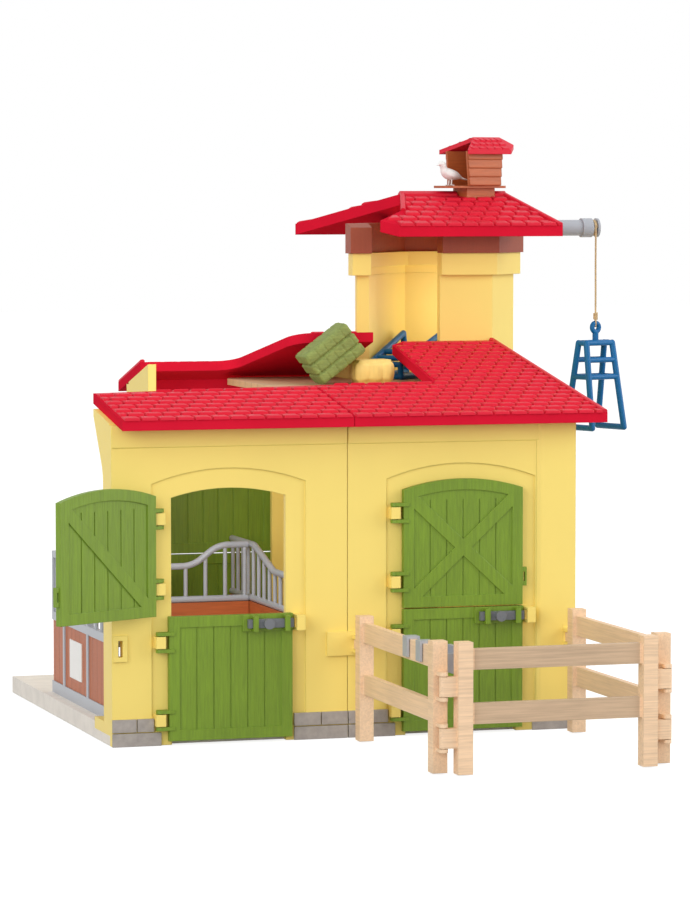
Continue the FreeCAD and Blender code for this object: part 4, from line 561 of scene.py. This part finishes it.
class STALL_OT_walls(bpy.types.Operator):
    """Walls, tower and clips, with a band under the front eave and a strip at the right corner"""
    bl_idname = "stall.walls"
    bl_label = "Walls"

    def execute(self, context):
        sizes = context.scene.stall_sizes
        dress("abs_wall_satin", "front_wall_left", "front_wall_right", "right_side_wall",
              "back_wall", "hinge_clips_left", "hinge_clips_right", "hinge_clips_back", "loft_post",
              "tower_shaft", "tower_collar", "fence_clip_left", "fence_clip_right")
        dress("abs_frieze_brown", "tower_frieze")
        # The raised strip at the front's right corner, with a sloped left edge.
        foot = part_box("stone_footings")[1][2] / MM
        strip = np.array([(0, 0.05), (0, -1.1), (-16.9, -1.1), (-17.5, -0.95), (-18.6, -0.15),
                          (-19.2, 0.05)])
        path = row_frame([(WALL_END, 0, foot), (WALL_END, 0, BAND_TOP)])
        corner = sweep(path, strip * MM, (1, 0, 0), (0, 1, 0))
        make_piece("corner_strip", corner, "abs_wall_satin", smooth=False)
        # The band in two lengths, one on each front wall.
        high = sizes.cornice / MM
        foot = BAND_TOP - high
        band = np.array([(0.05, 0), (-0.25, 0.05), (-0.5, 0.25), (-0.65, 0.6), (-0.65, high), (0.05, high)])
        bands = [sweep(row_frame([(x0, 0, foot), (x1, 0, foot)]), band * MM, (0, 1, 0), (0, 0, 1))
                 for x0, x1 in ((0.2, 109.7), (110.3, WALL_END))]
        make_piece("eave_band", joined(*bands), "abs_wall_satin", smooth=False)
        return {"FINISHED"}


class STALL_OT_doors(bpy.types.Operator):
    """Door leaves and their bolts"""
    bl_idname = "stall.doors"
    bl_label = "Doors"

    def execute(self, context):
        dress("abs_door_boards", *["door_%s_%s" % (side, leaf) for side in ("left", "right", "back")
                                   for leaf in ("upper", "lower")])
        dress("abs_bolt_grey", "bolt_left", "bolt_right", "bolt_back")
        return {"FINISHED"}


class STALL_OT_stonework(bpy.types.Operator):
    """Base plate and stone footings"""
    bl_idname = "stall.stonework"
    bl_label = "Stonework"

    def execute(self, context):
        dress("abs_moulded_stone", "stone_footings")
        dress("polystyrene_base", "plinth")
        return {"FINISHED"}


class STALL_OT_stalls(bpy.types.Operator):
    """Stall front, partitions and loft floor"""
    bl_idname = "stall.stalls"
    bl_label = "Stalls"

    def execute(self, context):
        dress("abs_silver_grey", "stall_front_frame", "partition_grille", "cross_grille")
        dress("abs_board_brown", "stall_front_boards")
        dress("abs_board_plain", "partition_boards", "cross_boards")
        dress("polystyrene_plate", "name_plate")
        dress("abs_floor_tan", "loft_floor", "tower_floor")
        return {"FINISHED"}


class STALL_OT_fence(bpy.types.Operator):
    """Fence panels and the feed trough"""
    bl_idname = "stall.fence"
    bl_label = "Fence"

    def execute(self, context):
        dress("abs_fence_along_x", "fence_front")
        dress("abs_fence_along_y", "fence_left", "fence_right")
        dress("abs_silver_grey", "feed_trough")
        return {"FINISHED"}


# The dovecote's own frame stands at the middle of its foot, turned about Z.
COTE_MM = np.array([230.8, 175.0, 0.0])
COTE_TURN = math.radians(16)
COTE_AXES = np.array([[math.cos(COTE_TURN), math.sin(COTE_TURN), 0],
                      [-math.sin(COTE_TURN), math.cos(COTE_TURN), 0], [0, 0, 1]])
# The house: its foot, its top, half its depth, and how far its sides lean out at the top.
HOUSE_FOOT, HOUSE_TOP, HOUSE_HALF, HOUSE_FLARE = 250.3, 267.5, 9.5, 1.2
# How far the lap boards stop short of the open front.
LAP_SHORT = 0.1
# The small roof: half its span, its rise, its thickness, the gap between two shingles and their sink.
COTE_SPAN, COTE_RISE, COTE_THICK, COTE_GAP, COTE_SINK = 12.5, 6.4, 2.2, 0.5, 0.05
# Its courses on one slope, from edge to edge.
COTE_COURSES = ((12.3, 8.4), (8.4, 4.5), (4.5, 0.8))
LAP_ACROSS = ((0, 0.6), (0.01, 1), (0.99, 1), (1, 0.6))
LAP_DOWN = ((0, 0.1), (0.05, 0.3), (0.85, 1), (0.95, 0.85), (1, 0))


def turned(vectors):
    """Directions or offsets in the dovecote's frame, turned as it stands."""
    return np.asarray(vectors, float) @ COTE_AXES


def on_ridge(points):
    """Points in mm in the dovecote's frame, as metres in the row frame."""
    return row_frame(turned(points) + COTE_MM)


class STALL_OT_dovecote(bpy.types.Operator):
    """Dovecote: lap boards round the house and shingles on its roof"""
    bl_idname = "stall.dovecote"
    bl_label = "Dovecote"

    def execute(self, context):
        sizes = context.scene.stall_sizes
        dress("abs_board_plain", "dovecote_foot", "dovecote_perch", "dovecote_house")
        z = np.linspace(HOUSE_FOOT, HOUSE_TOP, 5)
        flare = (z - HOUSE_FOOT) / (HOUSE_TOP - HOUSE_FOOT) * HOUSE_FLARE
        boards = list(zip(z[:-1], z[1:], flare[:-1] + HOUSE_HALF, flare[1:] + HOUSE_HALF))
        half, short, sides = HOUSE_HALF, LAP_SHORT, []
        for face in (-1, 1):
            y = face * half
            sides.append(((0, face, 0), [[(short - e1, y, b), (e1, y, b), (e0, y, a), (short - e0, y, a)]
                                         for a, b, e0, e1 in boards]))
        sides.append(((1, 0, 0), [[(e1, half, b), (e1, -half, b), (e0, -half, a), (e0, half, a)]
                                  for a, b, e0, e1 in boards]))
        shapes = [relief(on_ridge(corners), turned(normal), sizes.lap, LAP_ACROSS, LAP_DOWN)
                  for normal, corners in sides]
        make_piece("dovecote_boards", joined(*shapes), "abs_board_plain", smooth=False)
        self.roof(sizes)
        return {"FINISHED"}

    def roof(self, sizes):
        """Small shingles in three courses on each slope of the dovecote's roof."""
        eave = HOUSE_TOP - COTE_RISE * (COTE_SPAN - HOUSE_HALF) / COTE_SPAN + COTE_THICK - COTE_SINK
        tilt = math.atan2(COTE_RISE, COTE_SPAN)
        shapes = []
        for way in (-1, 1):
            normal = turned((0, way * math.sin(tilt), math.cos(tilt)))
            corners = []
            for row, (a, b) in enumerate(COTE_COURSES):
                za, zb = (eave + COTE_RISE * (COTE_SPAN - y) / COTE_SPAN for y in (a, b))
                start = np.interp(COTE_SPAN - np.array([a, b]), [0, COTE_SPAN], [-12.3, -0.7]).mean() + 0.8
                edges = np.linspace(start, 13.4 + 0.5 * row, 6)
                corners += [[(x0, way * b, zb), (x1, way * b, zb), (x1, way * a, za), (x0, way * a, za)]
                            for x0, x1 in zip(edges[:-1] + COTE_GAP / 2, edges[1:] - COTE_GAP / 2)]
            shapes.append(relief(on_ridge(corners), normal, 0.6 * sizes.lip, SHINGLE_ACROSS, SHINGLE_DOWN))
        make_piece("dovecote_shingles", joined(*shapes), "abs_roof_red", smooth=False)


# Sections of the dove from its tail to its beak: place along X, height, half width and half height in mm.
DOVE_KEYS = np.array([
    (7.6, 2.6, 1.9, 0.15), (6.2, 3.0, 1.7, 0.35), (4.4, 3.6, 1.5, 0.8), (2.4, 4.3, 2.2, 1.8),
    (0.2, 4.8, 2.6, 2.35), (-2.0, 5.3, 2.45, 2.5), (-3.6, 6.3, 1.95, 2.15), (-4.3, 7.7, 1.55, 1.6),
    (-4.7, 8.9, 1.6, 1.55), (-5.6, 9.6, 1.45, 1.4), (-6.6, 9.5, 0.8, 0.75), (-7.2, 9.25, 0.4, 0.38),
    (-8.1, 8.9, 0.06, 0.06)])
# Where the dove stands in the dovecote's frame, and its size next to those sections.
DOVE_FOOT = np.array([-13.6, 0.0, 250.3])
DOVE_GROWTH = 1.12


def smooth_keys(keys, count):
    """Rows of keys read along a Catmull-Rom curve, count rows in all."""
    padded = np.vstack([2 * keys[0] - keys[1], keys, 2 * keys[-1] - keys[-2]])
    t = np.linspace(0, len(keys) - 1.000001, count)
    i = t.astype(int)
    f = (t - i)[:, None]
    a, b, c, d = (padded[i + k] for k in range(4))
    square, cube = 2 * a - 5 * b + 4 * c - d, 3 * b - a - 3 * c + d
    return 0.5 * (2 * b + (c - a) * f + square * f ** 2 + cube * f ** 3)


def perched(points):
    """Points of the dove in mm from its feet, as metres in the row frame."""
    return on_ridge(np.asarray(points, float) * DOVE_GROWTH + DOVE_FOOT)


class STALL_OT_dove(bpy.types.Operator):
    """The dove on the perch"""
    bl_idname = "stall.dove"
    bl_label = "Dove"

    def execute(self, context):
        rows = smooth_keys(DOVE_KEYS, 72)
        spine = np.column_stack([rows[:, 0], np.zeros(len(rows)), rows[:, 1]])
        tangent = unit(np.gradient(spine, axis=0))
        up = np.cross(tangent, np.array([0.0, 1, 0]))
        angle = np.linspace(0, 2 * np.pi, 40, endpoint=False)
        share = np.linspace(0, 1, len(rows))[:, None]
        # Folded wings: a soft ridge along the body's flank that fades at the breast and over the tail.
        flank = np.exp(-((np.abs(np.cos(angle)) - 0.93) / 0.16) ** 2)[None]
        flank = flank * np.exp(-((share - 0.36) / 0.17) ** 2)
        wide = rows[:, 2:3] * (np.cos(angle)[None] * (1 + 0.22 * flank))
        high = np.maximum(rows[:, 3:4], 0.06) * np.sin(angle)[None]
        points = spine[:, None] + wide[..., None] * np.array([0, 1.0, 0]) + high[..., None] * up[:, None]
        shapes = [(perched(points.reshape(-1, 3)), capped(points))]
        for side in (-1, 1):
            foot = np.array([-0.9, side, 0])
            leg = [(-0.6, side, 3.4), (-0.7, side, 1.8), foot + (0, 0, 0.25)]
            shapes.append(tube(perched(leg), 0.33 * MM, 8))
            for reach in (-1.7, -1.2, 0.9):
                spread = side * (reach + 1.45)
                toe = [foot + (0, 0, 0.3), foot + (reach * 0.6, 0.25 * spread, 0.28),
                       foot + (reach, 0.5 * spread, 0.2)]
                shapes.append(tube(perched(toe), 0.24 * MM, 6))
        make_piece("dove_figure", joined(*shapes), "pvc_dove_white", replaces=("dove",))
        return {"FINISHED"}


# Fodder

# Points round a block's edge and over one of its ends.
EDGE_POINTS, END_POINTS = 7, 14


def rounded_block(half, corner, n_long, section):
    """A block with rounded edges: a rounded rectangle carried along X, drawn in over both ends.
    half is (x, y, z) half sizes, n_long is points along the block and section is points round it."""
    turn = np.linspace(0, np.pi / 2, EDGE_POINTS)
    flat = np.zeros(END_POINTS - 1)
    pull = corner / half[0]
    end = np.append(flat, pull * (1 - np.cos(turn))) - 1
    along = np.concatenate([end, np.linspace(-1, 1, n_long)[1:-1] * (1 - pull), -end[::-1]])
    grow = np.append(np.linspace(0, 1, END_POINTS)[:-1], np.ones(EDGE_POINTS))
    swell = np.append(flat, np.sin(turn))
    grow, swell = (np.concatenate([a, np.ones(n_long - 2), a[::-1]])[:, None] for a in (grow, swell))
    angle = np.linspace(0, 2 * np.pi, section, endpoint=False)
    ray = np.stack([np.cos(angle), np.sin(angle)], -1)
    full = rounded_ray(ray, half[1], half[2], corner)
    core = rounded_ray(ray, half[1] - corner, half[2] - corner, 1e-6)
    span = core * grow + (full - core) * swell
    along = np.broadcast_to((along * half[0])[:, None], span.shape)
    return np.stack([along, span * ray[:, 0], span * ray[:, 1]], -1)


def rounded_ray(ray, half_y, half_z, corner):
    """How far a ray reaches to a rounded rectangle: a superellipse whose power gives the corner."""
    power = np.clip(1.2 * min(half_y, half_z) / max(corner, 1e-3), 4.0, 24.0)
    return (np.abs(ray[:, 0] / half_y) ** power + np.abs(ray[:, 1] / half_z) ** power) ** (-1 / power)


def outward_normals(points):
    """Normals of a block's grid of points from its central differences, turned away from the origin."""
    normal = unit(np.cross(np.gradient(points, axis=0), np.gradient(points, axis=1)))
    outward = np.sign(np.sum(normal * points, -1, keepdims=True))
    return normal * np.where(outward == 0, 1, outward)


def block_shape(points):
    """The shape of a block's grid of points, with its faces turned away from its middle."""
    quads = grid_faces(*points.shape[:2], wrap=True)
    points = points.reshape(-1, 3)
    corners = points[quads]
    normal = np.cross(corners[:, 2] - corners[:, 0], corners[:, 3] - corners[:, 1])
    away = np.sum(normal * (corners.mean(1) - points.mean(0)))
    return points, [quads[:, ::-1] if away < 0 else quads]


def wrinkle(points, seed, size_mm, octaves=3):
    """A smooth random field in space: a sum of sine waves with seeded directions, from -1 to 1 or so."""
    draw = np.random.default_rng(seed)
    total = np.zeros(points.shape[:-1])
    for octave in range(octaves):
        waves = draw.normal(size=(6, 3)) * 2 ** octave / size_mm
        shift = draw.uniform(0, 2 * np.pi, 6)
        total += np.sin(points @ waves.T * 2 + shift).mean(-1) / 1.6 ** octave
    return total


# Half sizes of the bale, how far it leans, and the length of one pillow.
BALE_HALF = np.array([13.5, 9.0, 8.9])
BALE_LEAN = math.radians(37)
PILLOW_MM = 5.2
# Spacing of the straw's creases on its long and short sides, and the depth of the creases and of the barrel.
LOBE_LONG, LOBE_SHORT, CREASE_MM, BARREL_MM = 7.0, 5.7, 0.7, 1.1


class STALL_OT_fodder(bpy.types.Operator):
    """Hay bale and straw bundle on the loft floor"""
    bl_idname = "stall.fodder"
    bl_label = "Fodder"

    def execute(self, context):
        self.bale(context.scene.stall_sizes)
        self.straw()
        return {"FINISHED"}

    def bale(self, sizes):
        """Three bands along the bale with a groove between, each band cut across into uneven pillows."""
        points = rounded_block(BALE_HALF - 0.1, 1.3, 90, 220)
        normal = outward_normals(points)
        tuft = sizes.tuft / MM
        level = points[..., 2] / BALE_HALF[2] * 1.5
        band = np.clip(np.round(level), -1, 1)
        seam = np.exp(-((np.abs(level) - 0.5) / 0.10) ** 4)
        beat = points[..., 0] / PILLOW_MM + 0.37 * band + 0.05 * np.sin(points[..., 0] * 0.4 + 2 * band)
        cross = np.exp(-((beat - np.round(beat)) / 0.06) ** 2)
        side = np.abs(normal[..., 2]) < 0.75
        dent = -1.6 * tuft * seam * side - 0.6 * tuft * cross - 0.1 * tuft
        dent = dent + 0.3 * tuft * wrinkle(points * (0.45, 1, 1), 7, 1.8)
        points = points + normal * dent[..., None]
        c, s = math.cos(BALE_LEAN), math.sin(BALE_LEAN)
        axes = np.array([[c, 0, s], [0, 1, 0], [-s, 0, c]])
        low, high = (np.array(corner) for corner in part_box("hay_bale"))
        placed = (points @ axes) * MM + (low + high) / 2
        make_piece("hay_bale_pressed", block_shape(placed), "pvc_hay_green",
                   replaces=("hay_bale",))

    def straw(self):
        """A sheaf with fat upright lobes between even creases, drawn in at both ends like a barrel."""
        low, high = (np.array(corner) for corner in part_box("straw_bundle"))
        half = (high - low) / 2 / MM
        points = rounded_block(half[[2, 0, 1]] - 0.15, 2.6, 40, 200)
        normal = outward_normals(points)
        tall, long_way, short_way = np.moveaxis(points, -1, 0)
        on_long = np.abs(normal[..., 2]) > np.abs(normal[..., 1])
        beat = np.where(on_long, long_way / LOBE_LONG, short_way / LOBE_SHORT)
        crease = np.abs(beat - np.round(beat)) ** 2 * 4
        upright = np.abs(normal[..., 0]) < 0.9
        reach = np.clip(np.hypot(long_way / half[0], short_way / half[1]) - 0.45, 0, 1)
        barrel = (tall / half[2]) ** 2
        dent = -CREASE_MM * crease * np.where(upright, 1.0, reach) - BARREL_MM * barrel * upright
        dent = dent + 0.08 * wrinkle(points, 11, 4.0, 2)
        points = points + normal * dent[..., None]
        placed = points[..., [1, 2, 0]] * MM + (low + high) / 2
        placed[..., 2] = np.maximum(placed[..., 2], low[2])
        make_piece("straw_sheaf", block_shape(placed), "pvc_straw_yellow",
                   replaces=("straw_bundle",))


class STALL_OT_racks(bpy.types.Operator):
    """Saddle racks, crane arm and rope guide"""
    bl_idname = "stall.racks"
    bl_label = "Racks and crane"

    def execute(self, context):
        dress("polypropylene_blue", "rack_hung", "rack_lying")
        dress("abs_silver_grey", "crane_arm", "rope_guide")
        return {"FINISHED"}


# The hoist rope's route from the guide's groove down to the rack's ring, in mm.
ROPE_ROUTE = ((290.9, 161.2, 229.2), (290.9, 161.2, 225.0), (290.8, 161.15, 210.0), (290.95, 161.25, 196.0),
              (290.9, 161.2, 187.0), (290.9, 161.2, 182.6))
# Radius of the strands' lay and of the knot's cord, and of the knot's turns; the rise of those turns.
LAY_MM, CORD_MM, WRAP_MM, WRAP_RISE = 0.24, 0.42, 0.85, 3.2
# Where the turns on the guide start along its axis, and their radius.
GUIDE_MM = (290.3, 165, 229.2)
GUIDE_RADIUS = 3.55


class STALL_OT_rope(bpy.types.Operator):
    """Hoist rope with its turns on the guide and the knot at the rack's ring"""
    bl_idname = "stall.rope"
    bl_label = "Hoist rope"

    def execute(self, context):
        sizes = context.scene.stall_sizes
        line = self.centreline(row_frame(ROPE_ROUTE))
        share = np.linspace(0, 1, len(line))
        strands = []
        for k in range(3):
            turn = 2 * np.pi * (sizes.twists * share + k / 3)
            offset = np.stack([np.cos(turn), np.sin(turn), np.zeros(len(line))], -1) * LAY_MM * MM
            strands.append(tube(line + offset, sizes.strand, 8))
        rope = make_piece("hoist_rope_strands", joined(*strands), "cotton_rope",
                          replaces=("hoist_rope",))
        knot = self.knot(line[-1])
        turns = self.turns()
        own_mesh(rope)
        return {"FINISHED"}

    def centreline(self, route):
        """Points along a NURBS line that has the route's points as its control points."""
        data = bpy.data.curves.new("rope_line", "CURVE")
        data.dimensions = "3D"
        spline = data.splines.new("NURBS")
        spline.points.add(len(route) - 1)
        spline.points.foreach_set("co", np.column_stack([route, np.ones(len(route))]).ravel())
        spline.order_u = 3
        spline.use_endpoint_u = True
        spline.resolution_u = 60
        holder = bpy.data.objects.new("rope_line", data)
        mesh = bpy.data.meshes.new_from_object(holder)
        line = np.zeros(len(mesh.vertices) * 3)
        mesh.vertices.foreach_get("co", line)
        bpy.data.objects.remove(holder)
        bpy.data.curves.remove(data)
        bpy.data.meshes.remove(mesh)
        return line.reshape(-1, 3)

    def knot(self, foot):
        """Four tight turns round the rope above the ring, and the loop that goes down through it."""
        t = np.linspace(0, 1, 120)
        turn = 2 * np.pi * 4 * t
        x, y = WRAP_MM * np.cos(turn), WRAP_MM * np.sin(turn)
        wraps = foot + np.stack([x, y, 0.6 + WRAP_RISE * t], -1) * MM
        a = np.linspace(0, 2 * np.pi, 60)
        eye = foot + np.stack([0.3 * np.sin(a), 1.25 * np.sin(a), -1.1 + 1.9 * np.cos(a)], -1) * MM
        both = joined(tube(wraps, CORD_MM * MM, 8), tube(eye, CORD_MM * MM, 8))
        return make_piece("rope_knot", both, "cotton_rope", body="rack")

    def turns(self):
        """Two turns of the rope side by side in the guide's groove, a helix round the crane's axis."""
        t = np.linspace(0, 1, 120)
        turn = -np.pi + 2 * np.pi * 2 * t
        path = np.stack([1.15 * t, GUIDE_RADIUS * np.cos(turn), GUIDE_RADIUS * np.sin(turn)], -1)
        wound = tube(row_frame(path + GUIDE_MM), 0.5 * MM, 10)
        return make_piece("rope_turns", wound, "cotton_rope")


# Soft boxes to both sides, one by the camera and one above: the light of a studio tent. Two small lamps lift
# the shade inside the tower and the stalls. Each has its place, its aim, its size in metres and its watts.
LAMPS = {
    "soft_box_left": ((-1.6, -1.35, 0.8), (0, 0, 0.12), 1.4, 20.0),
    "soft_box_front": ((-0.62, -2.3, 0.6), (0.05, 0, 0.16), 1.0, 5.0),
    "soft_box_right": ((1.9, -0.8, 0.9), (0, 0, 0.12), 1.4, 24.0),
    "soft_box_top": ((0.0, -0.4, 2.2), (0, 0.05, 0.1), 1.8, 6.0),
    "tower_lamp": ((0.122, 0.0715, 0.190), (0.060, 0.0735, 0.188), 0.04, 0.013),
    "stall_lamp": ((-0.03, -0.06, 0.118), (-0.045, 0.1, 0.075), 0.04, 0.06),
}
# The camera's place and the direction that it looks, both in metres, and its lens on a 36 mm frame.
CAMERA_PLACE, CAMERA_WAY, CAMERA_LENS_MM = (-0.5372, -1.8285, 0.2496), (0.2959, 0.9528, -0.0680), 156.67
# The floor's height, its own light for the camera and its grey; the tent's light on everything else.
FLOOR_Z, FLOOR_GLOW, FLOOR_GREY, TENT_LIGHT = -0.0003, 0.83, 0.42, 0.62


class STALL_OT_stage(bpy.types.Operator):
    """Floor, lights, world and camera"""
    bl_idname = "stall.stage"
    bl_label = "Stage"

    def execute(self, context):
        scene = context.scene
        scene.view_settings.view_transform = "Standard"
        self.floor()
        self.world(scene)
        for name, (place, aim, size, power) in LAMPS.items():
            data = bpy.data.lights.new(name, "AREA")
            data.shape, data.size, data.energy = "SQUARE", size, power
            lamp = linked(name, data)
            lamp.location = place
            lamp.visible_camera = False
            lamp.rotation_euler = look(place, aim)
        data = bpy.data.cameras.new("photo_camera")
        data.sensor_fit, data.sensor_height, data.sensor_width = "VERTICAL", 36, 36
        data.lens = CAMERA_LENS_MM
        data.clip_start, data.clip_end = 0.05, 30
        camera = linked("photo_camera", data)
        camera.location = CAMERA_PLACE
        camera.rotation_euler = look(CAMERA_PLACE, [p + w for p, w in zip(CAMERA_PLACE, CAMERA_WAY)])
        scene.camera = camera
        return {"FINISHED"}

    def floor(self):
        """A pale floor: mostly its own white for the camera, and a diffuse part that keeps the shadow."""
        x, y = np.meshgrid(np.linspace(-6, 6, 3), np.linspace(-6, 6, 3))
        mesh = bpy.data.meshes.new("studio_floor")
        mesh.from_pydata(np.stack([x, y, np.full_like(x, FLOOR_Z)], -1).reshape(-1, 3).tolist(), [],
                         grid_faces(3, 3).tolist())
        material = bpy.data.materials.new("matt_paper_floor")
        tree = fresh_tree(material)
        seen = add(tree, "Emission", {"Color": (1, 1, 1, 1), "Strength": camera_share(tree, FLOOR_GLOW)})
        matt = add(tree, "BsdfDiffuse", {"Color": (FLOOR_GREY, FLOOR_GREY, FLOOR_GREY, 1)})
        both = add(tree, "AddShader", {0: seen.outputs[0], 1: matt.outputs[0]})
        add(tree, "OutputMaterial", {"Surface": both.outputs[0]})
        mesh.materials.append(material)
        floor = linked("studio_floor", mesh)

    def world(self, scene):
        """White for the camera and in reflections, a plain soft light for everything else."""
        scene.world = bpy.data.worlds.new("studio_tent")
        tree = fresh_tree(scene.world)
        strength = add(tree, "Math", {0: camera_share(tree, 1.0), 1: TENT_LIGHT}, operation="MAXIMUM")
        sky = add(tree, "Background", {"Color": (1, 1, 1, 1), "Strength": strength.outputs[0]})
        add(tree, "OutputWorld", {"Surface": sky.outputs[0]})


def camera_share(tree, strength):
    """That strength for camera, glossy and transmission rays, and none for the rest."""
    path = add(tree, "LightPath").outputs
    seen = add(tree, "Math", {0: path["Is Camera Ray"], 1: path["Is Glossy Ray"]}, operation="MAXIMUM")
    seen = add(tree, "Math", {0: seen.outputs[0], 1: path["Is Transmission Ray"]}, operation="MAXIMUM")
    return add(tree, "Math", {0: seen.outputs[0], 1: strength}, operation="MULTIPLY").outputs[0]


def look(place, aim):
    """Turn of a lamp or camera at place that looks at aim."""
    return (Vector(aim) - Vector(place)).to_track_quat("-Z", "Y").to_euler()


class STALL_PT_panel(bpy.types.Panel):
    """Lists the stall's pieces, sizes and colours"""
    bl_idname = "STALL_PT_panel"
    bl_label = "Horse stall"
    bl_space_type = "VIEW_3D"
    bl_region_type = "UI"
    bl_category = "Stall"

    def draw(self, context):
        for operator in OPERATORS:
            self.layout.operator(operator.bl_idname)
        for group in (context.scene.stall_sizes, context.scene.stall_colours):
            for key in group.bl_rna.properties.keys():
                if key not in ("rna_type", "name"):
                    self.layout.prop(group, key)


OPERATORS = (STALL_OT_stage, STALL_OT_rope, STALL_OT_walls, STALL_OT_roofs, STALL_OT_doors,
             STALL_OT_stonework, STALL_OT_stalls, STALL_OT_fence, STALL_OT_dovecote, STALL_OT_dove,
             STALL_OT_fodder, STALL_OT_racks)
CLASSES = (StallColours, StallSizes, *OPERATORS, STALL_PT_panel)


def register():
    for cls in CLASSES:
        bpy.utils.register_class(cls)
    bpy.types.Scene.stall_colours = PointerProperty(type=StallColours)
    bpy.types.Scene.stall_sizes = PointerProperty(type=StallSizes)


def unregister():
    del bpy.types.Scene.stall_sizes
    del bpy.types.Scene.stall_colours
    for cls in reversed(CLASSES):
        bpy.utils.unregister_class(cls)


def main():
    register()
    for operator in OPERATORS:
        group, name = operator.bl_idname.split(".")
        getattr(getattr(bpy.ops, group), name)()


if __name__ == "__main__":
    main()
